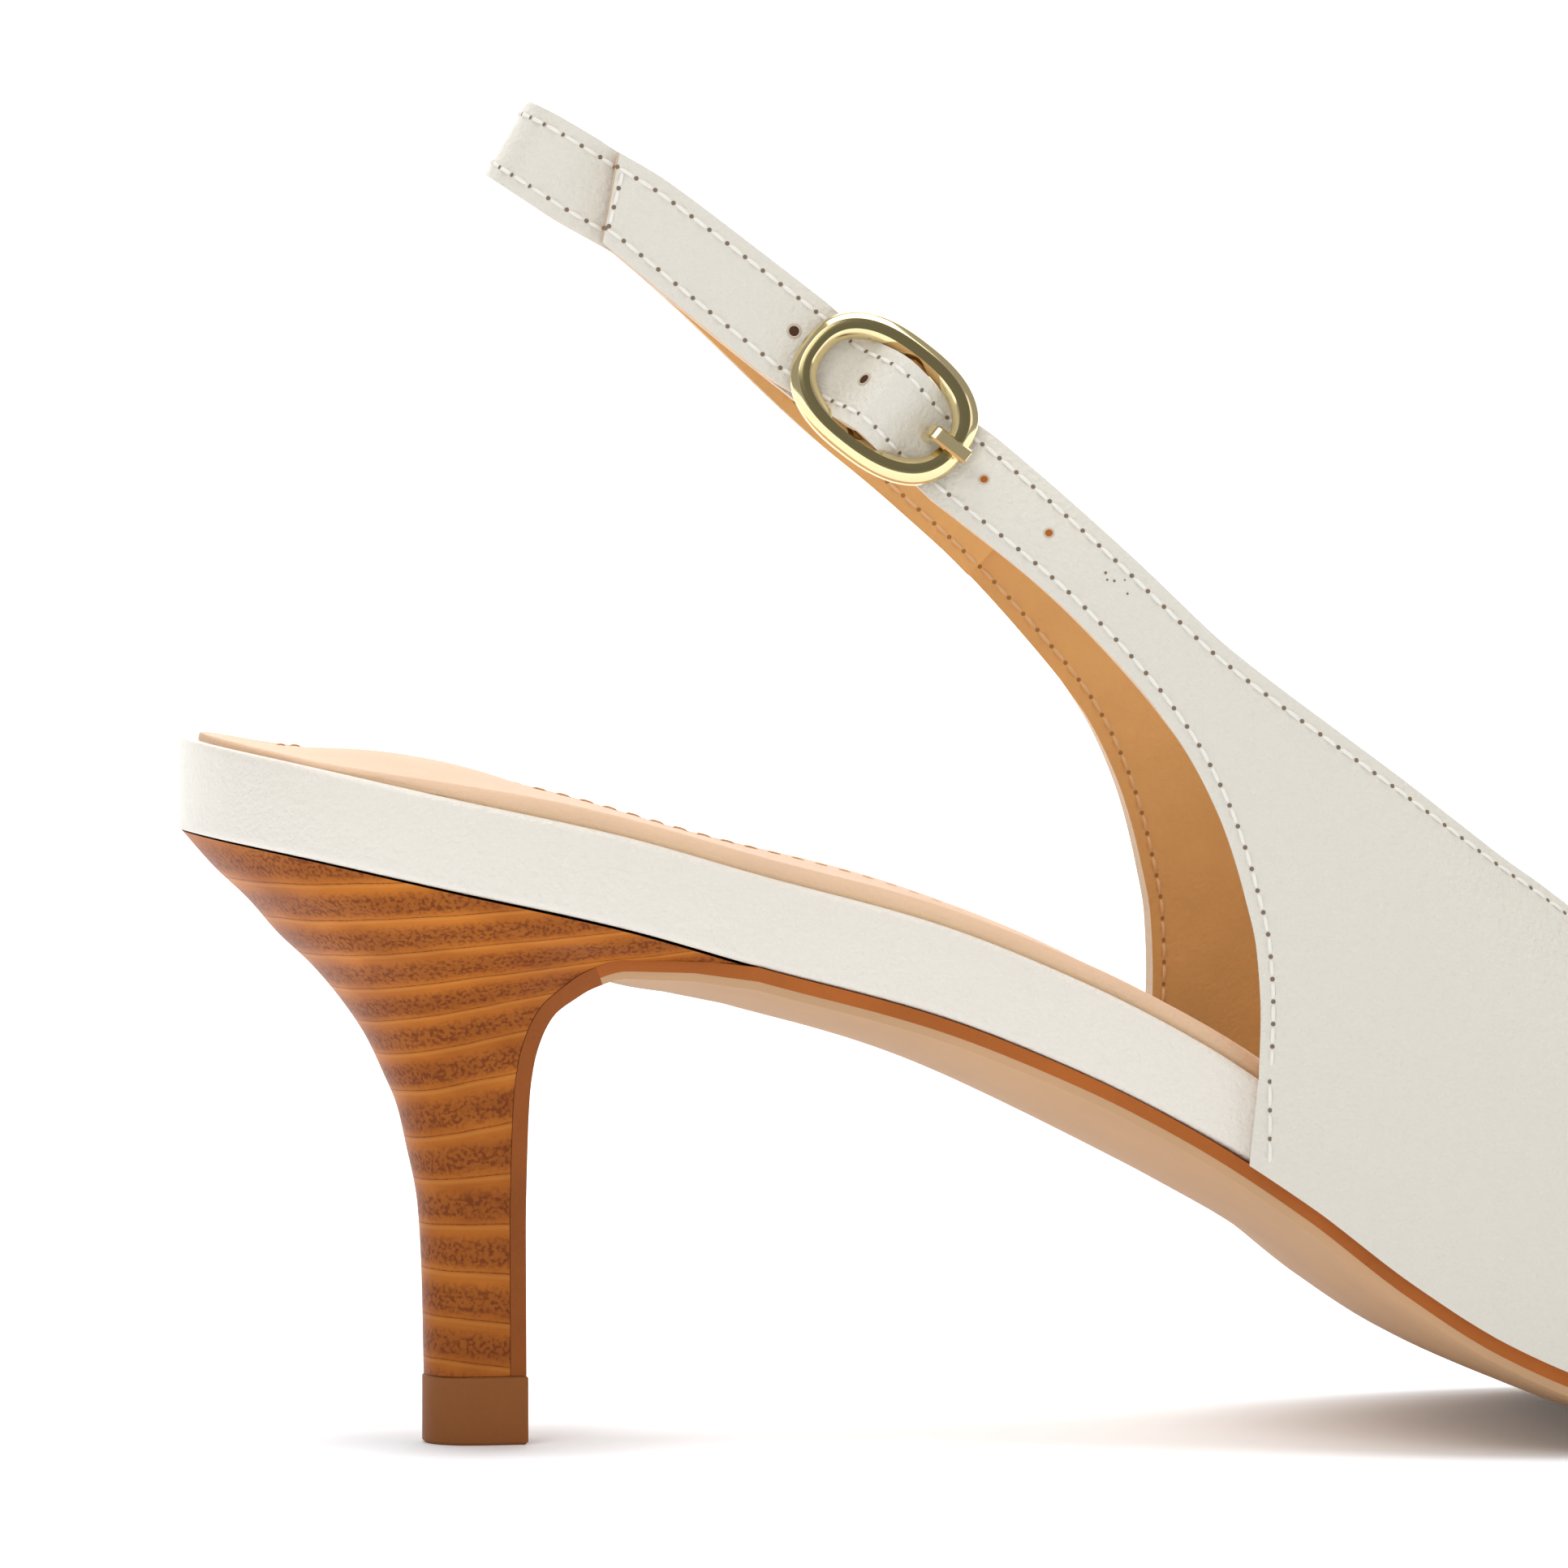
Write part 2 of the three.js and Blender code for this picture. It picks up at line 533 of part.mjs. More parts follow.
function sectionHalf(x, z) {
  const foot = edgePoint(1, x).half + upperGap;
  const top = Math.sqrt(Math.max(topHalfSquared(x).value, 0));
  const topAngle = Math.acos(Math.min(top / foot, 0.999) ** (1 / roundness));
  const fullHeight = (topZ(x).value - underside(x)) / Math.sin(topAngle) ** roundness;
  const rise = clamp01((z - underside(x)) / fullHeight);
  return foot * Math.cos(Math.asin(rise ** (1 / roundness))) ** roundness;
}

function ribEnds(rib, hand) {
  const top = { x: lengthAt(rib.topAt), z: rib.topRise * strapTop, half: (rib.topHalf ?? 0) * ballWidth };
  if (rib.lowRise !== undefined) {
    const low = { x: lengthAt(rib.lowAt), z: rib.lowRise * strapTop, half: rib.lowHalf * ballWidth };
    return { top, low };
  }
  const foot = edgePoint(hand, lengthAt(rib.lowAt), upperGap);
  const low = { x: foot.x, z: underside(lengthAt(rib.lowAt)), half: Math.abs(foot.y - middleAt(foot.x)) };
  return { top, low };
}

// Points of one rib from its foot to its top. pinch narrows it where the strap passes the buckle.
function ribPoints(rib, hand, rows, pinch = 1) {
  const { top, low } = ribEnds(rib, hand);
  const closed = rib.topHalf === undefined;
  const ratio = low.half > 0.01 ? Math.min(top.half / low.half, 0.98) : 0;
  const topAngle = Math.acos(ratio ** (1 / roundness));
  return Array.from({ length: rows + 1 }, (unused, j) => {
    const angle = topAngle * blend(0.5, j / rows, pinch);
    const share = (Math.sin(angle) / Math.sin(topAngle)) ** roundness;
    const x = blend(low.x, top.x, closed ? share ** 2 : share);
    const z = blend(low.z, top.z, share);
    const plain = closed ? low.half * Math.max(Math.cos(angle), 0) ** roundness
      : blend(low.half, top.half, (1 - Math.cos(angle)) / (1 - Math.cos(topAngle)));
    const onFoot = j === 0 && rib.lowRise === undefined;
    const half = closed || onFoot ? plain : blend(plain, sectionHalf(x, z), smooth((x - 50) / 16));
    const middle = closed ? middleAt(low.x) : middleAt(x);
    return [x, middle + (half < 0.02 ? 0 : hand * half), z];
  });
}

const legFine = fillRibs(legRibs, 2);
const quarterFine = fillRibs(quarterRibs, 2);
const vampStart = [{ topAt: quarterRibs.at(-1).topAt, topRise: quarterRibs.at(-1).topRise, lowAt: quarterRibs.at(-1).lowAt }];
const vampFine = fillRibs([...vampStart, ...vampRibs], 1).slice(1);

// The buckle's place: on the strap between two ribs of the leg table
const buckleRow = 6.24;
const legCurve = (row) => {
  const keys = Object.keys(legRibs[0]);
  const order = legRibs.map((rib, i) => i);
  return Object.fromEntries(keys.map((key) => [key, smoothCurve(order, column(legRibs, key))(row / 2).value]));
};
const ribMiddle = (rib, hand) => {
  const { top, low } = ribEnds(rib, hand);
  const x = (top.x + low.x) / 2;
  return new THREE.Vector3(x, middleAt(x) + (hand * (top.half + low.half)) / 2, (top.z + low.z) / 2);
};
const buckleCentre = new THREE.Vector3(...ribPoints(legCurve(buckleRow), -1, 2)[1]);
const along = ribMiddle(legCurve(buckleRow + 1), -1).sub(ribMiddle(legCurve(buckleRow - 1), -1)).normalize();
const rowPitch = ribMiddle(legCurve(buckleRow + 0.5), -1).distanceTo(ribMiddle(legCurve(buckleRow - 0.5), -1));
const buckleEnds = ribEnds(legCurve(buckleRow), -1);
const across = new THREE.Vector3(
  buckleEnds.top.x - buckleEnds.low.x,
  buckleEnds.low.half - buckleEnds.top.half,
  buckleEnds.top.z - buckleEnds.low.z,
);
across.addScaledVector(along, -across.dot(along)).normalize();
const outward = new THREE.Vector3().crossVectors(along, across).normalize();

const bulgeReach = ringLength / 2 - ringBand - 1.2;
const bulge = barLevel + barRadius + eyeWall + 4 * clearance + upperWall;
const bulgeAt = (distance) => (Math.abs(distance) < bulgeReach
  ? bulge * Math.cos((Math.PI * distance) / (2 * bulgeReach)) ** 2 : 0);
const pinchShare = 1 - (ringWidth - 2 * ringBand - 2 * clearance - 0.3) / strapWidth;
const pinchAt = (distance) => 1 - pinchShare * smooth((ringLength / 2 + 1 - Math.abs(distance)) / 3);

// Extra ribs where the strap bulges over the bar
const legDense = [];
legFine.forEach((rib, i) => {
  legDense.push(rib);
  if (i >= 5 && i <= 7) {
    for (const part of [0.25, 0.5, 0.75]) legDense.push(legCurve(i + part));
  }
});

function upperSheet() {
  const points = [];
  const faces = [];
  const flat = new Set();
  const grid = (ribs, hand) => {
    const start = points.length;
    ribs.forEach((rib, k) => {
      const onStrap = hand < 0 && rib.lowRise !== undefined;
      const distance = ribMiddle(rib, hand).sub(buckleCentre).dot(along);
      const lift = onStrap ? bulgeAt(distance) : 0;
      ribPoints(rib, hand, ribRows, onStrap ? pinchAt(distance) : 1).forEach((point, j) => {
        if (j === 0 && rib.lowRise === undefined) flat.add(points.length);
        points.push(new THREE.Vector3(...point).addScaledVector(outward, lift).toArray());
        if (k === 0 || j === 0) return;
        const here = start + k * (ribRows + 1) + j;
        const quad = [here, here - 1, here - ribRows - 2, here - ribRows - 1];
        faces.push(hand < 0 ? quad.reverse() : quad);
      });
    });
  };
  const front = [...quarterFine, ...vampFine];
  grid([...legDense, ...front], -1);
  grid([...legFine.slice(medialSeam), ...front], 1);
  return wall(points, faces, () => 0, () => -upperWall, (i) => flat.has(i));
}
const medialSeam = 9; // the first of the filled ribs that the inner quarter has
const upperSolid = toManifold(upperSheet());

// Sling strap: from the bar under the outer strap, round the heel, to the inner quarter

const slingSink = upperWall + clearance;
function slingRibs() {
  const rear = legCurve(2);
  const ends = ribEnds(rear, -1);
  const upSlope = new THREE.Vector3(ends.top.x - ends.low.x, 0, ends.top.z - ends.low.z).normalize();
  const rearward = new THREE.Vector3(-upSlope.z, 0, upSlope.x);
  const centre = new THREE.Vector3((ends.top.x + ends.low.x) / 2, 0, (ends.top.z + ends.low.z) / 2);
  const rows = 3;
  const strip = (row, hand, sink) => ({ line: ribPoints(legCurve(row), hand, rows), sink });
  const half = strapWidth / 2;
  const arc = [];
  const arcSteps = 14;
  for (let i = 0; i <= arcSteps; i += 1) {
    const angle = -Math.PI / 2 + (Math.PI * i) / arcSteps;
    const middle = centre.clone().addScaledVector(rearward, slingReach + loopDepth * Math.cos(angle));
    const y = loopHalf * Math.sin(angle);
    const place = (side) => middle.clone().addScaledVector(upSlope, side * half).setY(y).toArray();
    const line = Array.from({ length: rows + 1 }, (unused, j) => place((2 * j) / rows - 1));
    arc.push({ line, sink: 1 - smooth(i / 4) });
  }
  const outer = [5.4, 4.8, 4.1, 3.4, 2.7, 2].map((row) => strip(row, -1, 1));
  const inner = [2.7, 3.4, 4.2, 5, 6, 7, 7.8, 8.2, 8.7, 9.3, 10, 10.6].map((row) => (
    strip(row, 1, smooth((row - 7.8) / 0.9))));
  return [...outer, ...arc, ...inner];
}
const slingReach = 5.8; // straight stretch between the strap's end and the rounded back

function ribbon(ribs, thickness) {
  const width = ribs[0].line.length;
  const faces = [];
  for (let k = 1; k < ribs.length; k += 1) {
    for (let j = 1; j < width; j += 1) {
      const here = k * width + j;
      faces.push([here, here - 1, here - width - 1, here - width]);
    }
  }
  const points = ribs.flatMap((rib) => rib.line);
  const sinkAt = (i) => -slingSink * ribs[Math.floor(i / width)].sink;
  return wall(points, faces, sinkAt, (i) => sinkAt(i) - thickness);
}
const slingSolid = toManifold(ribbon(slingRibs(), strapThickness));

// Buckle: frame with its centre bar, prong, and the strap's eye, in the buckle's own axes

const buckleFrame = new THREE.Matrix4().makeBasis(along, across, outward).setPosition(buckleCentre);

function oval(length, width, segments = 40) {
  const squareness = 0.82;
  return Array.from({ length: segments }, (unused, i) => {
    const angle = (2 * Math.PI * i) / segments;
    const power = (value) => Math.sign(value) * Math.abs(value) ** squareness;
    return new THREE.Vector2((length / 2) * power(Math.cos(angle)), (width / 2) * power(Math.sin(angle)));
  });
}

// The ring's underside clears the strap's face where it crosses both ends of the ring
const strapFace = [-1, 1].flatMap((end) => [0.75, 0.95, 1.15].flatMap((share) => {
  const row = buckleRow + (end * share * ringLength) / 2 / rowPitch;
  return ribPoints(legCurve(row), -1, 4).map((point) => (
    new THREE.Vector3(...point).sub(buckleCentre).dot(outward)));
}));
const ringSeat = Math.max(...strapFace) + clearance;
const ringBevel = 0.35;
const ringShape = new THREE.Shape(oval(ringLength - 2 * ringBevel, ringWidth - 2 * ringBevel));
const openingGrow = 2 * ringBevel;
ringShape.holes.push(new THREE.Path(
  oval(ringLength - 2 * ringBand + openingGrow, ringWidth - 2 * ringBand + openingGrow).reverse(),
));
const ringGeometry = new THREE.ExtrudeGeometry(ringShape, {
  depth: ringThickness - 2 * ringBevel, bevelEnabled: true, bevelThickness: ringBevel,
  bevelSize: ringBevel, bevelSegments: 1, curveSegments: 1,
}).translate(0, 0, ringSeat + ringBevel);
const barGeometry = new THREE.CylinderGeometry(barRadius, barRadius, ringWidth - 2 * ringBand + 1.6, 12)
  .translate(0, 0, barLevel);
const frameGeometry = fromManifold(toManifold(ringGeometry).add(toManifold(barGeometry)));

// An extrusion across the strap of an outline drawn in (along, outward)
function acrossExtrude(outline, width, hole = null) {
  const shape = new THREE.Shape(outline.map(([x, y]) => new THREE.Vector2(x, y)));
  if (hole) shape.holes.push(new THREE.Path(hole.map(([x, y]) => new THREE.Vector2(x, y))));
  const geometry = new THREE.ExtrudeGeometry(shape, { depth: width, bevelEnabled: false, curveSegments: 1 });
  return geometry.translate(0, 0, -width / 2).rotateX(Math.PI / 2);
}
const circle = (radius, segments) => Array.from({ length: segments }, (unused, i) => (
  [radius * Math.cos((2 * Math.PI * i) / segments), radius * Math.sin((2 * Math.PI * i) / segments)]));

const eyeInner = barRadius + clearance;
const eyeOuter = eyeInner + eyeWall;
const prongRise = ringSeat + ringThickness + clearance + prongThickness / 2;
const prongReach = ringLength / 2 + 0.9;
const prongLine = [
  [1.3, 0.5], [3, 0.4], [4.5, 0.8], [5.6, 1.75], [6.5, prongRise - 0.25], [7.3, prongRise], [prongReach, prongRise],
];
const prongOutline = [
  ...prongLine.map(([x, y]) => [x, y - prongThickness / 2]),
  ...[...prongLine].reverse().map(([x, y]) => [x, y + prongThickness / 2]),
];
const prongEye = acrossExtrude(circle(eyeOuter, 16), prongWidth, circle(eyeInner, 16).reverse())
  .translate(0, 0, barLevel);
const prongGeometry = fromManifold(toManifold(acrossExtrude(prongOutline, prongWidth)).add(toManifold(prongEye)));

// The strap's end round the bar, with a slot for the prong's eye
const eyeArc = Array.from({ length: 9 }, (unused, i) => {
  const angle = Math.PI / 2 - (Math.PI * i) / 8;
  return [eyeOuter * Math.cos(angle), barLevel + eyeOuter * Math.sin(angle)];
});
const eyeTail = [[-3, -2.5], [-7.2, -slingSink - strapThickness], [-7.2, -slingSink], [-5, -slingSink], [-3, -0.95]];
const eyeOutline = [...eyeArc, ...eyeTail].reverse();
const eyeHole = circle(eyeInner, 12).map(([x, y]) => [x, y + barLevel]).reverse();
const strapEye = toManifold(acrossExtrude(eyeOutline, strapWidth - 0.7, eyeHole));
const slotWidth = prongWidth + 2 * clearance;
const eyeSlot = toManifold(new THREE.BoxGeometry(2 * eyeOuter + 1.2, slotWidth, 2 * eyeOuter + 2));
const eyeSolid = strapEye.subtract(eyeSlot).transform(buckleFrame.elements);
const slingGeometry = fromManifold(slingSolid.add(eyeSolid));

// The outer strap has a slot for the prong and lies clear of the ring
const slotLength = 6.6;
const slotCentre = 4.4;
const prongSlot = toManifold(new THREE.BoxGeometry(slotLength, slotWidth, 12).translate(slotCentre, 0, 0));
const openingLength = ringLength - 2 * ringBand;
const openingWidth = ringWidth - 2 * ringBand;
const ringRoomShape = new THREE.Shape(oval(ringLength + 2 * clearance, ringWidth + 2 * clearance));
ringRoomShape.holes.push(new THREE.Path(
  oval(openingLength - 2 * clearance, openingWidth - 2 * clearance).reverse(),
));
const ringRoom = toManifold(new THREE.ExtrudeGeometry(ringRoomShape, {
  depth: ringThickness + 2 * clearance, bevelEnabled: false, curveSegments: 1,
}).translate(0, 0, ringSeat - clearance));
const strapRoom = prongSlot.add(ringRoom).transform(buckleFrame.elements);
const upperGeometry = fromManifold(upperSolid.subtract(strapRoom));

// The shoe

function piece(name, geometry, color, roughness, metalness = 0) {
  const mesh = new THREE.Mesh(geometry, new THREE.MeshStandardMaterial({ color, roughness, metalness }));
  mesh.name = name;
  return mesh;
}

const buckle = new THREE.Group();
buckle.position.copy(buckleCentre);
buckle.quaternion.setFromRotationMatrix(buckleFrame);
buckle.add(
  piece('buckle_frame', frameGeometry, colour.gold, 0.2, 1),
  piece('buckle_prong', prongGeometry, colour.gold, 0.2, 1),
);

const shoe = new THREE.Group();
shoe.add(
  piece('outsole', outsoleGeometry, colour.edge, 0.4),
  piece('wrapped_midsole', midsoleGeometry, colour.white, 0.5),
  piece('heel', heelGeometry, colour.heel, 0.35),
  piece('heel_tip', heelTipGeometry, colour.tip, 0.7),
  piece('insole', insoleGeometry, colour.sock, 0.6),
  piece('upper', upperGeometry, colour.white, 0.5),
  piece('sling_strap', slingGeometry, colour.white, 0.5),
  buckle,
);

export default shoe;
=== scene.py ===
"""Looks for a slingback pump with a kitten heel, right shoe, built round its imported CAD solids.

Shapes are worked out in millimetres from named sizes and short tables, and become metres when a
mesh is made. +X runs to the toe, -Y is the outer (buckle) side, +Z is up, and the origin is on the
floor under the heel tip.
"""

from __future__ import annotations

import logging
import math
from bisect import bisect_right
from dataclasses import astuple, dataclass
from enum import IntEnum
from typing import Callable, Iterable, Optional, Sequence

import bpy
import numpy as np
from mathutils import Matrix, Vector

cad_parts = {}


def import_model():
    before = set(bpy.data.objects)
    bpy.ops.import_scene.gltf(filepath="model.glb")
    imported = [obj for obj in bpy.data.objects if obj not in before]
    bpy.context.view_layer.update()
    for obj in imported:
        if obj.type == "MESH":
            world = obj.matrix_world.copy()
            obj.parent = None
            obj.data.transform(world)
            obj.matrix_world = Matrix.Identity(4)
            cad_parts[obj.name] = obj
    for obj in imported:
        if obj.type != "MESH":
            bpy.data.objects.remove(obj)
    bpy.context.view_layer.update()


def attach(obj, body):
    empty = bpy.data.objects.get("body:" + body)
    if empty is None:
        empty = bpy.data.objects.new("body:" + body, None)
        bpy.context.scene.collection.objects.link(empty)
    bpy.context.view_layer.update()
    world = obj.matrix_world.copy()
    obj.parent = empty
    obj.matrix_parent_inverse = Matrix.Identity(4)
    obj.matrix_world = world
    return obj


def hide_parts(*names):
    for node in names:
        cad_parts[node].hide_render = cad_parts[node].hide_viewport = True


LOG = logging.getLogger("slingback")
MM = 0.001
HAIRLINE = 0.05
Point = tuple[float, float, float]
Colour = tuple[float, float, float, float]

# Driving sizes, as in the CAD part
SHOE_LENGTH = 250.0
HEEL_BACK = 29.8
BALL_WIDTH = 75.4
SEAT_WIDTH = 49.0
SEAT_RISE = 57.9
TOE_SPRING = 7.4
STRAP_TOP = 130.0
CLEARANCE = 0.3
UPPER_WALL = 1.5
STRAP_THICKNESS = 1.5
STRAP_WIDTH = 9.1
RIM_HEIGHT = 9.1
BOARD_HEIGHT = 3.6
OUTSOLE_EDGE = 2.2
FLAP_THICKNESS = 1.35
WAIST_CROWN = 4.0
TREAD_CROWN = 1.2
INSOLE_THICKNESS = 1.6
PAD_HEIGHT = 1.3
ARCH_LIFT = 1.2
HEEL_TIP_HEIGHT = 6.6
RING_LENGTH = 19.2
RING_WIDTH = 13.6
RING_BAND = 2.25
RING_THICKNESS = 1.7
BAR_RADIUS = 0.7
BAR_LEVEL = 0.4
EYE_WALL = 0.8
PRONG_WIDTH = 1.3
PRONG_THICKNESS = 1.2
LOOP_DEPTH = 8.0
LOOP_HALF = 7.2
LOOP_REACH = 5.8

# Finer sizes that only the looks have
RIM_BEVEL = 0.9
INSOLE_BEVEL = 1.3
SEAT_THINNING = 1.5
SLING_TRIM = 1.2
CROWN_TRIM = 0.68
EDGE_SHARE = 0.62
STITCH_PITCH = 2.2
STITCH_INSET = 1.45
STITCH_RADIUS = 0.2
PINHOLE_RADIUS = 0.24
STRAP_HOLE_RADIUS = 0.6
SCUFFS = ((27.4, 0.62, 0.16), (28.0, 0.55, 0.12), (28.6, 0.6, 0.14), (29.3, 0.68, 0.1), (30.4, 0.6, 0.12))
STRAP_HOLES = (-11.4, -2.6, 5.4, 12.5, 20.6)

TOE_TIP = SHOE_LENGTH - HEEL_BACK
TREAD_TOP = TREAD_CROWN + OUTSOLE_EDGE + CLEARANCE
UPPER_GAP = UPPER_WALL + CLEARANCE
SECTION_ROUNDNESS = 0.9
BUCKLE_ROW = 6.24
MEDIAL_SEAM_ROW = 9.0


class Side(IntEnum):
    """Which side of the shoe a piece is on."""

    OUTER = -1
    INNER = 1


@dataclass(frozen=True)
class PlanRow:
    """A place along the sole: half width and sideways shift, as shares of the ball width."""

    at: float
    half: float
    sway: float


@dataclass(frozen=True)
class SideRow:
    """The side line of the sole: shares of the seat's rise, toe spring, rim height and crown."""

    at: float
    rise: float
    spring: float
    rim: float
    crown: float


@dataclass(frozen=True)
class Rib:
    """One rib of the upper. Rises are shares of the strap's height, halves of the ball width."""

    top_at: float
    top_rise: float
    top_half: Optional[float]
    low_at: float
    low_rise: Optional[float] = None
    low_half: Optional[float] = None


@dataclass(frozen=True)
class HeelRow:
    """One level of the heel, in shares of the seat's width and of the heel's height."""

    back: float
    front: float
    back_rise: float
    front_rise: float
    half: float


PLAN = (
    PlanRow(0, 0, 0),
    PlanRow(0.015, 0.174, 0),
    PlanRow(0.039, 0.26, 0),
    PlanRow(0.071, 0.31, 0),
    PlanRow(0.103, 0.325, 0),
    PlanRow(0.151, 0.324, -0.002),
    PlanRow(0.199, 0.314, -0.007),
    PlanRow(0.259, 0.298, -0.017),
    PlanRow(0.319, 0.297, -0.029),
    PlanRow(0.379, 0.326, -0.037),
    PlanRow(0.439, 0.385, -0.034),
    PlanRow(0.499, 0.453, -0.022),
    PlanRow(0.551, 0.492, -0.007),
    PlanRow(0.591, 0.5, 0.007),
    PlanRow(0.639, 0.48, 0.021),
    PlanRow(0.699, 0.427, 0.037),
    PlanRow(0.759, 0.357, 0.049),
    PlanRow(0.819, 0.281, 0.056),
    PlanRow(0.879, 0.205, 0.057),
    PlanRow(0.931, 0.143, 0.056),
    PlanRow(0.971, 0.093, 0.052),
    PlanRow(0.991, 0.052, 0.05),
    PlanRow(1, 0, 0.049),
)
SIDE = (
    SideRow(0, 1, 0, 1, 0),
    SideRow(0.034, 0.972, 0, 1, 0),
    SideRow(0.098, 0.91, 0, 1, 0),
    SideRow(0.162, 0.847, 0, 1, 0.8),
    SideRow(0.22, 0.774, 0, 1, 1),
    SideRow(0.289, 0.69, 0, 1, 1),
    SideRow(0.347, 0.588, 0, 1, 1),
    SideRow(0.392, 0.486, 0, 1, 0.9),
    SideRow(0.434, 0.366, 0, 0.9, 0.6),
    SideRow(0.473, 0.234, 0, 0.64, 0.42),
    SideRow(0.507, 0.137, 0, 0.36, 0.32),
    SideRow(0.547, 0.06, 0, 0.1, 0.3),
    SideRow(0.587, 0.012, 0, 0, 0.3),
    SideRow(0.615, 0, 0, 0, 0.3),
    SideRow(0.71, 0, 0, 0, 0.3),
    SideRow(0.76, 0, 0.05, 0, 0.3),
    SideRow(0.82, 0, 0.19, 0, 0.26),
    SideRow(0.88, 0, 0.4, 0, 0.2),
    SideRow(0.94, 0, 0.68, 0, 0.12),
    SideRow(1, 0, 1, 0, 0),
)
LEG_RIBS = (
    Rib(0.1728, 0.99, 0.096, 0.1656, 0.9215, 0.1),
    Rib(0.188, 0.973, 0.098, 0.17, 0.9146, 0.102),
    Rib(0.236, 0.903, 0.122, 0.2128, 0.8454, 0.133),
    Rib(0.2804, 0.8338, 0.163, 0.256, 0.7785, 0.176),
    Rib(0.3248, 0.7615, 0.217, 0.2984, 0.7154, 0.231),
    Rib(0.3652, 0.6885, 0.271, 0.3416, 0.6423, 0.292),
    Rib(0.4024, 0.6177, 0.312, 0.3752, 0.5677, 0.344),
    Rib(0.4232, 0.5854, 0.328, 0.3888, 0.5262, 0.36),
    Rib(0.4472, 0.5508, 0.339, 0.4, 0.4769, 0.372),
    Rib(0.4732, 0.5138, 0.344, 0.4072, 0.4277, 0.38),
    Rib(0.4972, 0.4785, 0.343, 0.4116, 0.3846, 0.385),
    Rib(0.5152, 0.4523, 0.339, 0.4128, 0.3385, 0.388),
    Rib(0.5292, 0.4338, 0.335, 0.412, 0.2908, 0.388),
)
QUARTER_RIBS = (
    Rib(0.54, 0.4185, 0.331, 0.4104),
    Rib(0.5592, 0.3908, 0.321, 0.437),
    Rib(0.5812, 0.3646, 0.304, 0.47),
    Rib(0.6052, 0.3408, 0.279, 0.508),
    Rib(0.6292, 0.3215, 0.245, 0.55),
    Rib(0.6512, 0.3085, 0.204, 0.592),
    Rib(0.6692, 0.3008, 0.156, 0.632),
    Rib(0.6824, 0.2969, 0.1, 0.668),
    Rib(0.6912, 0.2954, 0, 0.7),
)
VAMP_RIBS = (
    Rib(0.715, 0.281, None, 0.728),
    Rib(0.75, 0.262, None, 0.762),
    Rib(0.79, 0.243, None, 0.8),
    Rib(0.83, 0.225, None, 0.84),
    Rib(0.87, 0.207, None, 0.88),
    Rib(0.905, 0.191, None, 0.916),
    Rib(0.938, 0.174, None, 0.95),
    Rib(0.963, 0.158, None, 0.976),
    Rib(0.979, 0.145, None, 0.992),
    Rib(0.986, 0.137, None, 0.998),
    Rib(0.989, 0.133, None, 1),
)
HEEL_LEVELS = (
    HeelRow(0.598, 0.47, 1, 0.779, 0.49),
    HeelRow(0.532, 0.337, 0.933, 0.783, 0.462),
    HeelRow(0.463, 0.241, 0.874, 0.782, 0.421),
    HeelRow(0.4, 0.167, 0.809, 0.757, 0.368),
    HeelRow(0.331, 0.127, 0.75, 0.725, 0.315),
    HeelRow(0.269, 0.092, 0.683, 0.687, 0.262),
    HeelRow(0.222, 0.071, 0.619, 0.639, 0.219),
    HeelRow(0.188, 0.058, 0.554, 0.58, 0.184),
    HeelRow(0.159, 0.053, 0.491, 0.513, 0.157),
    HeelRow(0.141, 0.052, 0.42, 0.428, 0.137),
    HeelRow(0.118, 0.052, 0.312, 0.312, 0.117),
    HeelRow(0.11, 0.054, 0.185, 0.185, 0.104),
    HeelRow(0.106, 0.056, 0, 0, 0.096),
)

# Boundaries between the heel's leather layers: height over the heel's centre, and slope to the front
HEEL_LAYERS = (
    (4.0, -0.14), (8.0, -0.13), (12.4, -0.12), (17.2, -0.067), (22.1, 0.0), (27.0, 0.08),
    (31.9, 0.177), (36.9, 0.19), (41.1, 0.2), (44.7, 0.19), (47.8, 0.142), (51.2, 0.11),
    (54.6, 0.08), (58.0, 0.05), (62.0, 0.0),
)


def blend(a: float, b: float, share: float) -> float:
    """Returns the value at a share of the way from a to b."""
    return a + (b - a) * share


def clamp01(value: float) -> float:
    """Returns the value kept between 0 and 1."""
    return min(1.0, max(0.0, value))


def smooth(value: float) -> float:
    """Returns a soft step from 0 to 1."""
    held = clamp01(value)
    return held * held * (3 - 2 * held)


def length_at(share: float) -> float:
    """Returns the X of a share of the shoe's length."""
    return share * SHOE_LENGTH - HEEL_BACK


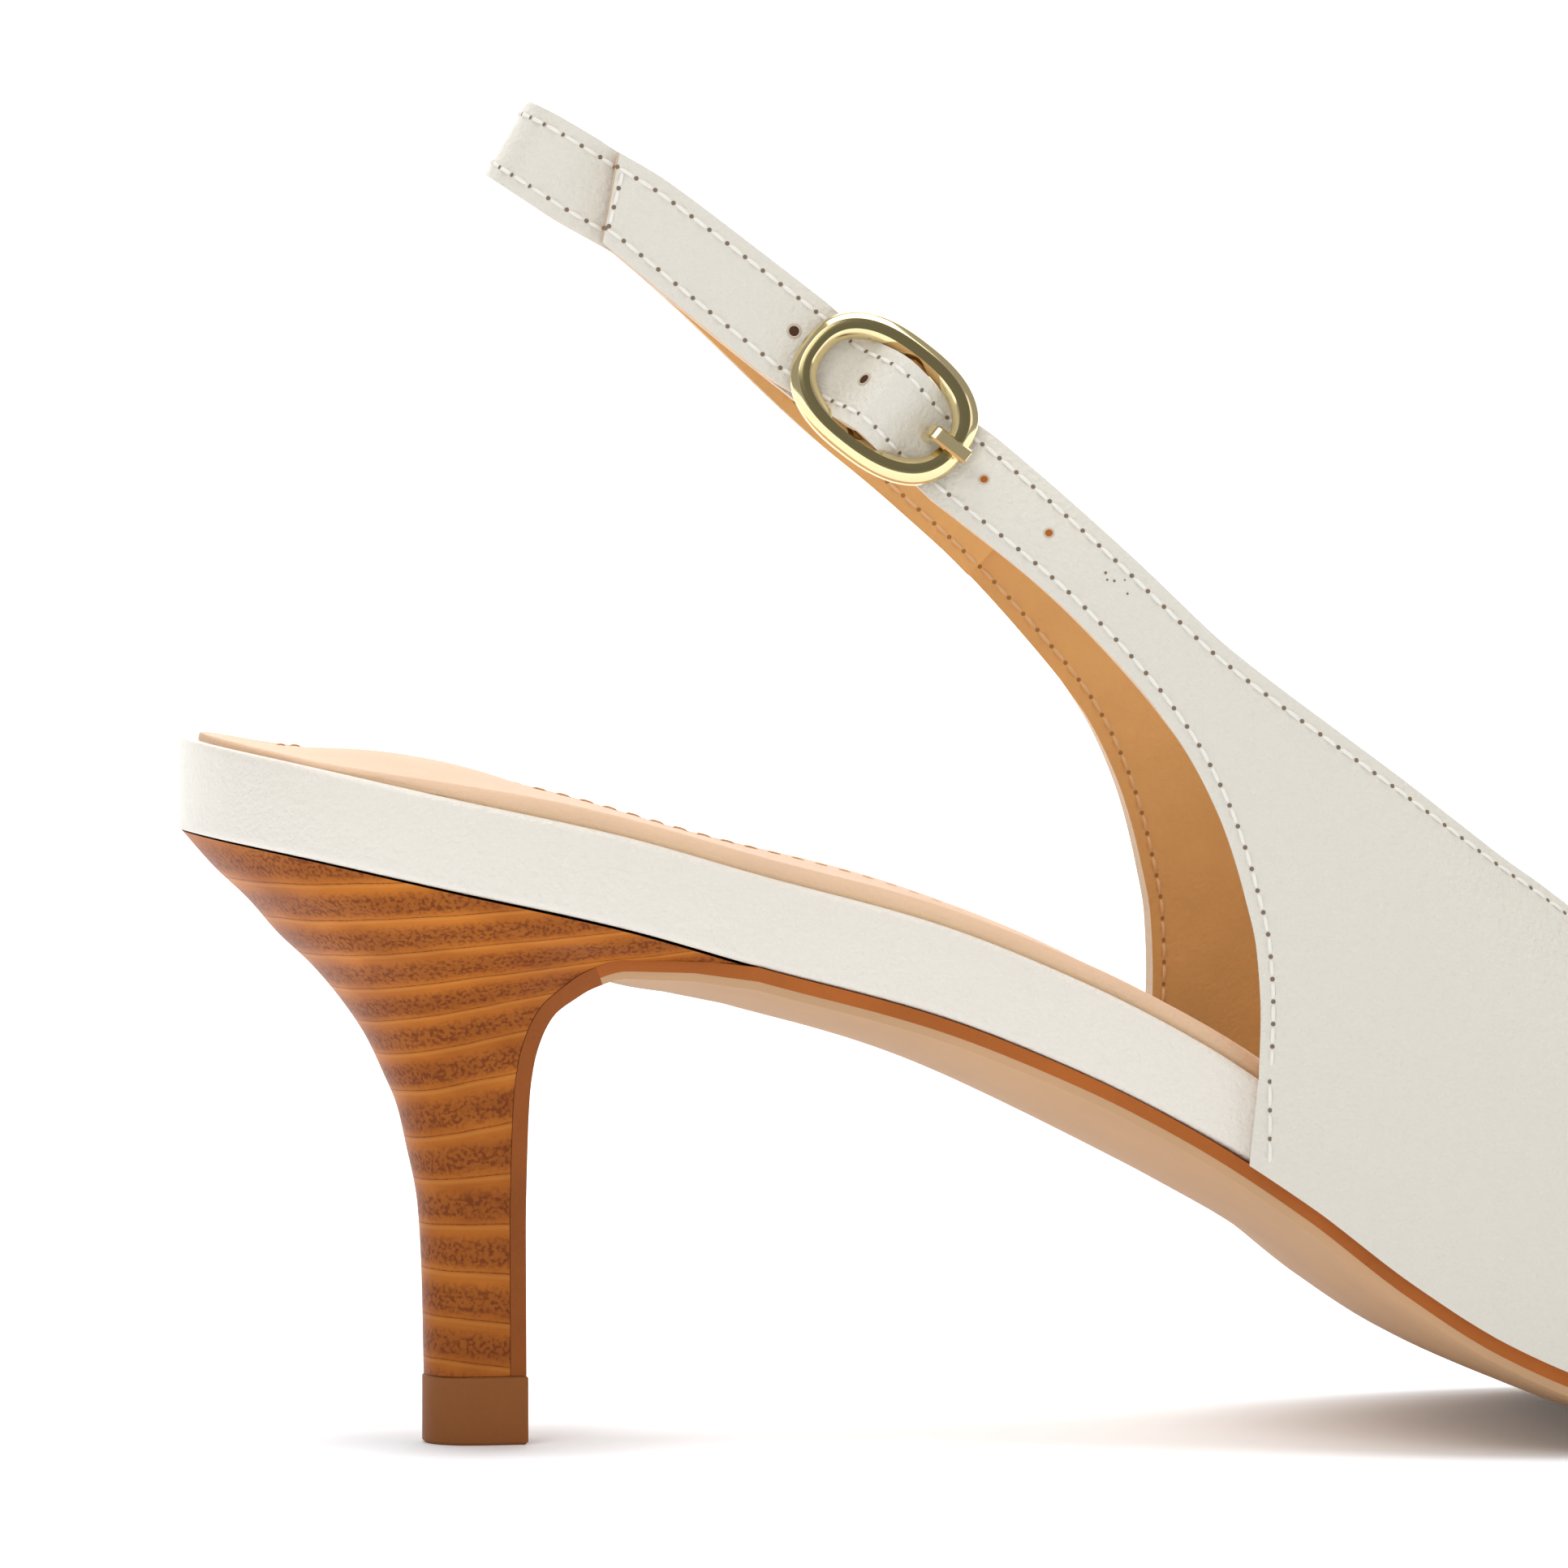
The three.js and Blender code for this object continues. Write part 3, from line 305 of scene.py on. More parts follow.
class Curve:
    """A smooth curve through a table's points that never overshoots."""

    def __init__(self, xs: Iterable[float], ys: Iterable[float]) -> None:
        """Args:
            xs: Places, in rising order.
            ys: The values at those places.
        """
        self.xs = list(xs)
        self.ys = list(ys)
        last = len(self.xs) - 1
        chord = [(self.ys[i + 1] - self.ys[i]) / (self.xs[i + 1] - self.xs[i]) for i in range(last)]
        self.slopes = [chord[0]]
        for before, after in zip(chord, chord[1:]):
            level = before * after <= 0
            self.slopes.append(0.0 if level else 2 * before * after / (before + after))
        self.slopes.append(chord[-1])

    def _span(self, x: float) -> tuple[int, float, float]:
        i = min(max(bisect_right(self.xs, x) - 1, 0), len(self.xs) - 2)
        run = self.xs[i + 1] - self.xs[i]
        return i, run, clamp01((x - self.xs[i]) / run)

    def __call__(self, x: float) -> float:
        """Returns the curve's value at x."""
        i, run, t = self._span(x)
        drop = self.ys[i + 1] - self.ys[i]
        return (
            self.ys[i]
            + run * self.slopes[i] * (t - 2 * t**2 + t**3)
            + run * self.slopes[i + 1] * (t**3 - t**2)
            + drop * (3 * t**2 - 2 * t**3)
        )

    def rate(self, x: float) -> float:
        """Returns the curve's slope at x."""
        i, run, t = self._span(x)
        drop = self.ys[i + 1] - self.ys[i]
        return (
            self.slopes[i] * (1 - 4 * t + 3 * t**2)
            + self.slopes[i + 1] * (3 * t**2 - 2 * t)
            + drop / run * (6 * t - 6 * t**2)
        )


def curve_of(rows: Sequence, key: str, scale: float = 1.0) -> Curve:
    """Returns a curve along the shoe through one column of a table with an `at` column."""
    return Curve([length_at(r.at) for r in rows], [getattr(r, key) * scale for r in rows])


def curves_by_index(rows: Sequence) -> list[Curve]:
    """Returns one curve over the row number for each column of a table that is filled in."""
    columns = zip(*(astuple(row) for row in rows))
    return [Curve(range(len(rows)), column) for column in columns if None not in column]


HALF_SQUARED = Curve([length_at(r.at) for r in PLAN], [(r.half * BALL_WIDTH) ** 2 for r in PLAN])
SWAY = curve_of(PLAN, "sway", BALL_WIDTH)
RISE = curve_of(SIDE, "rise", SEAT_RISE)
SPRING = curve_of(SIDE, "spring", TOE_SPRING)
RIM = curve_of(SIDE, "rim")
CROWN = curve_of(SIDE, "crown", WAIST_CROWN)


def underside(x: float) -> float:
    """Returns the height of the wrapped midsole's underside."""
    return TREAD_TOP + RISE(x) + SPRING(x)


def midsole_height(x: float) -> float:
    """Returns the thickness of the wrapped midsole."""
    return blend(BOARD_HEIGHT, RIM_HEIGHT, RIM(x))


def edge_point(side: int, x: float, offset: float = 0.0) -> tuple[float, float, float]:
    """Finds a point on the sole's edge.

    Args:
        side: Which side of the shoe.
        x: Place along the shoe.
        offset: How far outwards the point moves.

    Returns:
        The point's X and Y, and the sole's half width there.
    """
    half = math.sqrt(max(HALF_SQUARED(x), 0.0))
    middle = SWAY(x)
    if half < 0.01:
        return x + math.copysign(offset, x * offset), middle, half
    slope = HALF_SQUARED.rate(x) / (2 * half)
    turn = side * SWAY.rate(x) + slope
    norm = math.hypot(turn, 1.0)
    return x - turn / norm * offset, middle + side * (half + offset / norm), half


def middle_at(x: float) -> float:
    """Returns the upper's middle line."""
    return SWAY(x) * smooth((x - 35) / 38)


# The upper's surface

LEG_CURVES = curves_by_index(LEG_RIBS)
QUARTER_CURVES = curves_by_index(QUARTER_RIBS)
_LAST = QUARTER_RIBS[-1]
VAMP_CURVES = curves_by_index((Rib(_LAST.top_at, _LAST.top_rise, None, _LAST.low_at),) + VAMP_RIBS)
TOP_ROWS = LEG_RIBS[3:] + QUARTER_RIBS
TOP_Z = Curve([length_at(r.top_at) for r in TOP_ROWS], [r.top_rise * STRAP_TOP for r in TOP_ROWS])
TOP_HALF_SQUARED = Curve(
    [length_at(r.top_at) for r in TOP_ROWS], [(r.top_half * BALL_WIDTH) ** 2 for r in TOP_ROWS]
)


def leg_rib(row: float) -> Rib:
    """Returns a rib of the strap and quarter, two rows to each line of its table."""
    top_at, top_rise, top_half, low_at, low_rise, low_half = (c(row / 2) for c in LEG_CURVES)
    return Rib(top_at, top_rise, top_half, low_at, low_rise, low_half)


def quarter_rib(row: float) -> Rib:
    """Returns a rib of the quarter in front of its rear corner."""
    top_at, top_rise, top_half, low_at = (c(row / 2) for c in QUARTER_CURVES)
    return Rib(top_at, top_rise, top_half, low_at)


def vamp_rib(row: float) -> Rib:
    """Returns a rib of the closed vamp."""
    top_at, top_rise, low_at = (c(row) for c in VAMP_CURVES)
    return Rib(top_at, top_rise, None, low_at)


def section_half(x: float, z: float) -> float:
    """Returns the upper's half width at a height, from its round section at x."""
    foot = edge_point(1, x)[2] + UPPER_GAP
    top = math.sqrt(max(TOP_HALF_SQUARED(x), 0.0))
    top_angle = math.acos(min(top / foot, 0.999) ** (1 / SECTION_ROUNDNESS))
    full = (TOP_Z(x) - underside(x)) / math.sin(top_angle) ** SECTION_ROUNDNESS
    rise = clamp01((z - underside(x)) / full)
    return foot * math.cos(math.asin(rise ** (1 / SECTION_ROUNDNESS))) ** SECTION_ROUNDNESS


def rib_ends(rib: Rib, side: int) -> tuple[Point, Point]:
    """Returns a rib's top and low end, each as X, Z and half width."""
    top = (length_at(rib.top_at), rib.top_rise * STRAP_TOP, (rib.top_half or 0.0) * BALL_WIDTH)
    if rib.low_rise is not None:
        low = (length_at(rib.low_at), rib.low_rise * STRAP_TOP, rib.low_half * BALL_WIDTH)
        return top, low
    foot_x, foot_y, _ = edge_point(side, length_at(rib.low_at), UPPER_GAP)
    return top, (foot_x, underside(length_at(rib.low_at)), abs(foot_y - middle_at(foot_x)))


def rib_points(rib: Rib, side: int, rows: int, pinch: float = 1.0) -> np.ndarray:
    """Places one rib's points.

    Args:
        rib: The rib.
        side: Which side of the shoe.
        rows: How many steps from its foot to its top.
        pinch: Narrows the rib where the strap passes the buckle.

    Returns:
        An array of rows + 1 points.
    """
    (top_x, top_z, top_half), (low_x, low_z, low_half) = rib_ends(rib, side)
    closed = rib.top_half is None
    ratio = min(top_half / low_half, 0.98) if low_half > 0.01 else 0.0
    top_angle = math.acos(ratio ** (1 / SECTION_ROUNDNESS))
    line = []
    for j in range(rows + 1):
        angle = top_angle * blend(0.5, j / rows, pinch)
        share = (math.sin(angle) / math.sin(top_angle)) ** SECTION_ROUNDNESS
        x = blend(low_x, top_x, share**2 if closed else share)
        z = blend(low_z, top_z, share)
        if closed:
            half = low_half * max(math.cos(angle), 0.0) ** SECTION_ROUNDNESS
        else:
            half = blend(low_half, top_half, (1 - math.cos(angle)) / (1 - math.cos(top_angle)))
            if not (j == 0 and rib.low_rise is None):
                half = blend(half, section_half(x, z), smooth((x - 50) / 16))
        middle = middle_at(low_x if closed else x)
        line.append((x, middle + (0.0 if half < 0.02 else side * half), z))
    return np.array(line)


def rib_middle(rib: Rib, side: int) -> Vector:
    """Returns the point half way between a rib's ends."""
    (top_x, top_z, top_half), (low_x, low_z, low_half) = rib_ends(rib, side)
    x = (top_x + low_x) / 2
    return Vector((x, middle_at(x) + side * (top_half + low_half) / 2, (top_z + low_z) / 2))


class BucklePlace:
    """Where the buckle sits on the outer strap, and how the strap rises over its bar."""

    def __init__(self) -> None:
        centre_rib = leg_rib(BUCKLE_ROW)
        self.centre = Vector(rib_points(centre_rib, Side.OUTER, 2)[1])
        ahead = rib_middle(leg_rib(BUCKLE_ROW + 1), Side.OUTER)
        self.along = (ahead - rib_middle(leg_rib(BUCKLE_ROW - 1), Side.OUTER)).normalized()
        step = rib_middle(leg_rib(BUCKLE_ROW + 0.5), Side.OUTER)
        self.pitch = (step - rib_middle(leg_rib(BUCKLE_ROW - 0.5), Side.OUTER)).length
        (top_x, top_z, top_half), (low_x, low_z, low_half) = rib_ends(centre_rib, Side.OUTER)
        across = Vector((top_x - low_x, low_half - top_half, top_z - low_z))
        self.across = (across - self.along * across.dot(self.along)).normalized()
        self.outward = self.along.cross(self.across).normalized()
        self.reach = RING_LENGTH / 2 - RING_BAND - 1.2
        self.rise = BAR_LEVEL + BAR_RADIUS + EYE_WALL + 4 * CLEARANCE + UPPER_WALL
        opening = RING_WIDTH - 2 * RING_BAND - 2 * CLEARANCE - 0.3
        self.pinch_share = 0.45 * (1 - opening / STRAP_WIDTH)
        faces = [
            (Vector(point) - self.centre).dot(self.outward)
            for end in (-1, 1)
            for share in (0.75, 0.95, 1.15)
            for point in rib_points(
                leg_rib(BUCKLE_ROW + end * share * RING_LENGTH / 2 / self.pitch), Side.OUTER, 4
            )
        ]
        self.seat = max(faces) + CLEARANCE

    def bulge(self, distance: float) -> float:
        """Returns how far the strap rises at a distance along it from the bar."""
        if abs(distance) >= self.reach:
            return 0.0
        return self.rise * math.cos(math.pi * distance / (2 * self.reach)) ** 2

    def pinch(self, distance: float) -> float:
        """Returns the strap's width there, as a share of its own."""
        return 1 - self.pinch_share * smooth((RING_LENGTH / 2 + 1 - abs(distance)) / 3)

    def strap_line(self, row: float, rows: int) -> np.ndarray:
        """Returns the outer strap's points across one row, with its rise over the bar."""
        rib = leg_rib(row)
        distance = (rib_middle(rib, Side.OUTER) - self.centre).dot(self.along)
        line = rib_points(rib, Side.OUTER, rows, self.pinch(distance))
        return line + np.array(self.outward) * self.bulge(distance)

    def place(self, points: Iterable[Point]) -> np.ndarray:
        """Moves points given as (along, across, outward) to their place on the shoe."""
        basis = np.array([self.along, self.across, self.outward])
        return np.array(list(points)) @ basis + np.array(self.centre)


# Meshes

Faces = list[tuple[int, ...]]


class Surface:
    """Collects points and faces, in millimetres, with a material slot for each face."""

    def __init__(self) -> None:
        self.points: list[Sequence[float]] = []
        self.faces: Faces = []
        self.slots: list[int] = []

    def add(self, points: Iterable[Sequence[float]], faces: Iterable[Sequence[int]], slot: int = 0) -> None:
        """Adds points and the faces that use them, all in one material slot."""
        start = len(self.points)
        self.points.extend(points)
        for face in faces:
            self.faces.append(tuple(start + i for i in face))
            self.slots.append(slot)

    def build(self, name: str, materials: Sequence[bpy.types.Material], crease: float = 40.0) -> bpy.types.Object:
        """Makes the object.

        Args:
            name: The object's name.
            materials: Its material slots.
            crease: Edges that turn by more than this many degrees stay sharp.

        Returns:
            The new object, at the origin.
        """
        mesh = bpy.data.meshes.new(name)
        mesh.from_pydata([tuple(float(c) * MM for c in p) for p in self.points], [], self.faces)
        for material in materials:
            mesh.materials.append(material)
        mesh.polygons.foreach_set("material_index", self.slots)
        mesh.polygons.foreach_set("use_smooth", [True] * len(self.faces))
        mesh.set_sharp_from_angle(angle=math.radians(crease))
        mesh.validate()
        obj = bpy.data.objects.new(name, mesh)
        bpy.context.scene.collection.objects.link(obj)
        return obj


def grid_faces(rows: int, columns: int, closed: bool = False, flip: bool = False) -> Faces:
    """Returns the faces of a grid of points, one row after another."""
    faces = []
    for r in range(rows - 1):
        for c in range(columns if closed else columns - 1):
            d = (c + 1) % columns
            face = (r * columns + c, r * columns + d, (r + 1) * columns + d, (r + 1) * columns + c)
            faces.append(face[::-1] if flip else face)
    return faces


def loft(surface: Surface, rings: Sequence[np.ndarray], slot_of: Callable[[int, int], int] = lambda r, c: 0,
         flip: bool = False) -> None:
    """Skins closed rings with capped ends. slot_of(ring, column) gives each side face its slot."""
    count = len(rings[0])
    start = len(surface.points)
    surface.points.extend(np.concatenate(rings))
    for number, face in enumerate(grid_faces(len(rings), count, closed=True, flip=flip)):
        surface.faces.append(tuple(start + i for i in face))
        surface.slots.append(slot_of(number // count, number % count))
    first = tuple(range(start, start + count))
    final = tuple(range(start + (len(rings) - 1) * count, start + len(rings) * count))
    surface.faces += [first if flip else first[::-1], final[::-1] if flip else final]
    surface.slots += [slot_of(0, 0), slot_of(len(rings) - 2, 0)]


def walled(surface: Surface, points: np.ndarray, faces: Faces, outer: np.ndarray, inner: np.ndarray,
           level: np.ndarray, slots: tuple[int, int, int]) -> None:
    """Gives an open surface a wall.

    Args:
        surface: Where it is added.
        points: The open surface's points.
        faces: Its faces, turned outwards.
        outer: How far each point's outer face lies along its normal.
        inner: The same for its inner face.
        level: True where the normal is kept horizontal.
        slots: Material slots of the outer face, the inner face and the cut edge.
    """
    places: dict[tuple[float, ...], int] = {}
    kept: list[int] = []
    number = []
    for i, point in enumerate(np.round(points, 3)):
        key = tuple(point)
        if key not in places:
            places[key] = len(kept)
            kept.append(i)
        number.append(places[key])
    clean = []
    for face in faces:
        merged = [number[i] for i in face]
        corners = [a for k, a in enumerate(merged) if a != merged[k - 1]]
        if len(set(corners)) == len(corners) > 2:
            clean.append(tuple(corners))
    spots = points[kept]
    normals = np.zeros_like(spots)
    for face in clean:
        corner = spots[list(face)]
        turn = np.cross(corner[2] - corner[0], corner[-1] - corner[1])
        normals[list(face)] += turn
    flat = level[kept]
    normals[flat, 2] = 0.0
    normals /= np.maximum(np.linalg.norm(normals, axis=1), 1e-9)[:, None]
    count = len(spots)
    start = len(surface.points)
    surface.points.extend(spots + normals * outer[kept][:, None])
    surface.points.extend(spots + normals * inner[kept][:, None])
    used = {(face[i - 1], face[i]) for face in clean for i in range(len(face))}
    rims = [(a, b) for a, b in used if (b, a) not in used]
    for slot, group in (
        (slots[0], clean),
        (slots[1], [tuple(i + count for i in face[::-1]) for face in clean]),
        (slots[2], [(b, a, a + count, b + count) for a, b in rims]),
    ):
        surface.faces += [tuple(start + i for i in face) for face in group]
        surface.slots += [slot] * len(group)


@dataclass
class Sheet:
    """A grid of points with outward normals: rows along the leather, columns across it."""

    points: np.ndarray
    normals: np.ndarray

    @classmethod
    def of(cls, lines: Sequence[np.ndarray], turn: int) -> "Sheet":
        """Makes a sheet from its lines. turn is 1 or -1 and chooses which way is outwards."""
        points = np.array(lines)
        normals = turn * np.cross(np.gradient(points, axis=0), np.gradient(points, axis=1))
        return cls(points, normals / np.maximum(np.linalg.norm(normals, axis=2), 1e-9)[..., None])

    def inset(self, distance: float, from_top: bool, depth: float = 0.0) -> tuple[np.ndarray, np.ndarray]:
        """Finds a line parallel to one long edge.

        Args:
            distance: How far from the edge.
            from_top: Whether it is the sheet's top edge.
            depth: How far under the outer face.

        Returns:
            The line's points and normals.
        """
        line, normal = [], []
        for points, normals in zip(self.points, self.normals):
            p, n = (points[::-1], normals[::-1]) if from_top else (points, normals)
            steps = np.concatenate([[0], np.cumsum(np.linalg.norm(np.diff(p, axis=0), axis=1))])
            here = np.array([np.interp(distance, steps, p[:, k]) for k in range(3)])
            up = np.array([np.interp(distance, steps, n[:, k]) for k in range(3)])
            up /= max(np.linalg.norm(up), 1e-9)
            line.append(here - up * depth)
            normal.append(up)
        return np.array(line), np.array(normal)


def sew(thread: Surface, line: np.ndarray, normals: np.ndarray, pitch: float = STITCH_PITCH,
        side: int = 1, radius: float = STITCH_RADIUS) -> None:
    """Adds a row of stitches and their pinholes.

    Args:
        thread: The surface that takes them: slot 0 is thread and slot 1 the holes, flat dark discs of painted shade.
        line: The row's points.
        normals: Its normals.
        pitch: Length of one stitch with its hole.
        side: 1 on the outer face, -1 on the inner.
        radius: Radius of the thread.
    """
    steps = np.concatenate([[0], np.cumsum(np.linalg.norm(np.diff(line, axis=0), axis=1))])
    total = steps[-1]
    count = max(1, int(total / pitch))

    def at(s: float) -> tuple[np.ndarray, np.ndarray]:
        here = np.array([np.interp(s, steps, line[:, k]) for k in range(3)])
        up = side * np.array([np.interp(s, steps, normals[:, k]) for k in range(3)])
        return here, up / max(np.linalg.norm(up), 1e-9)

    sides = 8
    for n in range(count):
        start = n * total / count
        spans = (0.12, 0.3, 0.5, 0.7, 0.88)
        lifts = (-0.1, 0.07, 0.1, 0.07, -0.1)
        widths = (0.55, 1.0, 1.05, 1.0, 0.55)
        before, _ = at(start)
        after, _ = at(start + total / count)
        run = after - before
        run /= max(np.linalg.norm(run), 1e-9)
        rings = []
        for span, lift, width in zip(spans, lifts, widths):
            here, up = at(start + span * total / count)
            across = np.cross(run, up)
            rings.append(np.array([
                here + up * (lift + radius * width * 0.7 * math.sin(a)) + across * radius * width * math.cos(a)
                for a in (2 * math.pi * k / sides for k in range(sides))
            ]))
        loft(thread, rings)
        here, up = at(start)
        across = np.cross(run, up)
        # Each pinhole is a flat dark disc just over the leather: painted shade.
        hole_shade_disc = [
            here + up * 0.03 + (run * math.cos(a) + across * math.sin(a)) * PINHOLE_RADIUS
            for a in (2 * math.pi * k / sides for k in range(sides))
        ]
        thread.add(hole_shade_disc, [tuple(range(sides))], 1)


# Materials


def tint(red: float, green: float, blue: float) -> Colour:
    """Returns a colour for a shader from red, green and blue as a screen shows them, 0 to 255."""
    def linear(value: float) -> float:
        share = value / 255
        return share / 12.92 if share <= 0.04045 else ((share + 0.055) / 1.055) ** 2.4
    return linear(red), linear(green), linear(blue), 1.0


@dataclass(frozen=True)
class Finish:
    """How a plain surface looks."""

    colour: Colour
    roughness: float
    metallic: float = 0.0
    coat: float = 0.0
    specular: float = 0.5
    grain_scale: float = 0.0
    grain_strength: float = 0.0
    mottle: float = 0.0
    mottle_scale: float = 60.0
    sheen: float = 0.0


FINISHES: dict[str, Finish] = {
    "upper_leather": Finish(tint(209, 203, 191), 0.45, coat=0.08, grain_scale=1700, grain_strength=0.5),
    "rim_leather": Finish(tint(219, 212, 201), 0.42, coat=0.1, grain_scale=1700, grain_strength=0.45),
    "lining": Finish(tint(220, 168, 104), 0.6, specular=0.3, grain_scale=1800, grain_strength=0.2, mottle=0.08),
    "cut_edge": Finish(tint(226, 200, 172), 0.7, grain_scale=2400, grain_strength=0.2, mottle=0.12),
    "sock": Finish(tint(219, 184, 152), 0.6, specular=0.3, grain_scale=1700, grain_strength=0.3, mottle=0.05),
    "sock_edge": Finish(tint(222, 188, 152), 0.6, grain_scale=2400, grain_strength=0.25, mottle=0.06),
    "sole_edge": Finish(tint(168, 92, 36), 0.55, specular=0.15, grain_scale=2000, grain_strength=0.15, mottle=0.12),
    "sole_face": Finish(tint(190, 151, 114), 0.6, specular=0.12, grain_scale=1200, grain_strength=0.06,
                        mottle=0.07, mottle_scale=35),
    "breast": Finish(tint(148, 82, 36), 0.6, specular=0.12, grain_scale=1800, grain_strength=0.12, mottle=0.14),
    "tip": Finish(tint(140, 84, 38), 0.65, specular=0.25, grain_scale=2200, grain_strength=0.12, mottle=0.06),
    "gold": Finish(tint(226, 208, 160), 0.13, metallic=1.0),
    # The ring's flat band: the same gold, darkened as a painted dark reflection.
    "gold_flat_painted_reflection": Finish(tint(150, 138, 98), 0.2, metallic=1.0),
    "thread": Finish(tint(223, 218, 209), 0.7),
    "tan_thread": Finish(tint(216, 172, 124), 0.7),
    # Stitch holes as dark discs, which is painted shade; the strap's real scuff marks share this colour.
    "pinhole_painted_shade_and_scuff": Finish(tint(122, 104, 88), 0.9, specular=0.1),
    # The lining's stitch holes as tan discs of painted shade.
    "tan_pinhole_painted_shade": Finish(tint(156, 112, 70), 0.9, specular=0.1),
    "hole_edge": Finish(tint(186, 170, 150), 0.7),
    # The floor of a used strap hole: painted shade.
    "hole_floor_painted_shade": Finish(tint(74, 50, 38), 0.9, specular=0.1),
}


class Graph:
    """Small helper that adds nodes to one material and joins them."""

    def __init__(self, name: str) -> None:
        self.material = bpy.data.materials.new(name)
        self.material.use_nodes = True
        self.nodes = self.material.node_tree.nodes
        self.links = self.material.node_tree.links
        self.shader = self.nodes["Principled BSDF"]
        self.place = self.nodes.new("ShaderNodeTexCoord").outputs["Object"]

    def join(self, source: bpy.types.NodeSocket, target: bpy.types.NodeSocket) -> None:
        """Links two sockets."""
        self.links.new(source, target)

    def stretched(self, scale: tuple[float, float, float]) -> bpy.types.NodeSocket:
        """Returns the object's coordinates, scaled along each axis."""
        node = self.nodes.new("ShaderNodeMapping")
        node.inputs["Scale"].default_value = scale
        self.join(self.place, node.inputs["Vector"])
        return node.outputs["Vector"]

    def noise(self, scale: float, detail: float = 3.0, place: Optional[bpy.types.NodeSocket] = None,
              ) -> bpy.types.NodeSocket:
        """Returns a noise value."""
        node = self.nodes.new("ShaderNodeTexNoise")
        node.inputs["Scale"].default_value = scale
        node.inputs["Detail"].default_value = detail
        self.join(place or self.place, node.inputs["Vector"])
        return node.outputs["Fac"]

    def math(self, operation: str, a: bpy.types.NodeSocket | float, b: bpy.types.NodeSocket | float = 0.0,
             ) -> bpy.types.NodeSocket:
        """Returns the result of a maths operation on two values."""
        node = self.nodes.new("ShaderNodeMath")
        node.operation = operation
        for socket, value in zip(node.inputs, (a, b)):
            if isinstance(value, (int, float)):
                socket.default_value = value
            else:
                self.join(value, socket)
        return node.outputs[0]

    def ramp(self, value: bpy.types.NodeSocket, stops: Sequence[tuple[float, Colour]]) -> bpy.types.NodeSocket:
        """Returns a colour from a ramp."""
        node = self.nodes.new("ShaderNodeValToRGB")
        elements = node.color_ramp.elements
        for number, (position, colour) in enumerate(stops):
            element = elements[number] if number < 2 else elements.new(position)
            element.position = position
            element.color = colour
        self.join(value, node.inputs["Fac"])
        return node.outputs["Color"]

    def mix(self, share: bpy.types.NodeSocket | float, a: bpy.types.NodeSocket | Colour,
            b: bpy.types.NodeSocket | Colour) -> bpy.types.NodeSocket:
        """Returns a mix of two colours."""
        node = self.nodes.new("ShaderNodeMix")
        node.data_type = "RGBA"
        for socket, value in ((node.inputs[0], share), (node.inputs[6], a), (node.inputs[7], b)):
            if isinstance(value, (int, float, tuple)):
                socket.default_value = value
            else:
                self.join(value, socket)
        return node.outputs[2]

    def distance(self, centre: Point) -> bpy.types.NodeSocket:
        """Returns the distance from a point, in metres."""
        node = self.nodes.new("ShaderNodeVectorMath")
        node.operation = "DISTANCE"
        self.join(self.place, node.inputs[0])
        node.inputs[1].default_value = centre
        return node.outputs["Value"]

    def fade(self, value: bpy.types.NodeSocket, start: float, stop: float, low: float, high: float,
             ) -> bpy.types.NodeSocket:
        """Returns a soft step from low to high as the value goes from start to stop."""
        node = self.nodes.new("ShaderNodeMapRange")
        node.interpolation_type = "SMOOTHSTEP"
        self.join(value, node.inputs[0])
        for number, setting in enumerate((start, stop, low, high), 1):
            node.inputs[number].default_value = setting
        return node.outputs[0]

    def bump(self, height: bpy.types.NodeSocket, strength: float, distance: float) -> None:
        """Gives the shader a bump from a height."""
        node = self.nodes.new("ShaderNodeBump")
        node.inputs["Strength"].default_value = strength
        node.inputs["Distance"].default_value = distance
        self.join(height, node.inputs["Height"])
        self.join(node.outputs["Normal"], self.shader.inputs["Normal"])


def darker(colour: Colour, share: float) -> Colour:
    """Returns a colour with its light cut by a share."""
    red, green, blue, alpha = colour
    return red * (1 - share), green * (1 - share), blue * (1 - share), alpha


def plain_material(name: str, finish: Finish) -> bpy.types.Material:
    """Makes a material from a finish."""
    graph = Graph(name)
    inputs = graph.shader.inputs
    inputs["Base Color"].default_value = finish.colour
    inputs["Roughness"].default_value = finish.roughness
    inputs["Metallic"].default_value = finish.metallic
    inputs["Coat Weight"].default_value = finish.coat
    inputs["Coat Roughness"].default_value = 0.25
    inputs["Specular IOR Level"].default_value = finish.specular
    inputs["Sheen Weight"].default_value = finish.sheen
    if finish.mottle:
        patch = graph.noise(finish.mottle_scale, 5.0)
        colour = graph.ramp(patch, ((0.3, darker(finish.colour, finish.mottle * 2)), (0.65, finish.colour)))
        graph.join(colour, inputs["Base Color"])
    if finish.grain_strength:
        fine = graph.noise(finish.grain_scale, 4.0)
        soft = graph.noise(finish.grain_scale / 7, 2.0)
        graph.bump(graph.math("ADD", fine, soft), finish.grain_strength, 0.0005)
    return graph.material


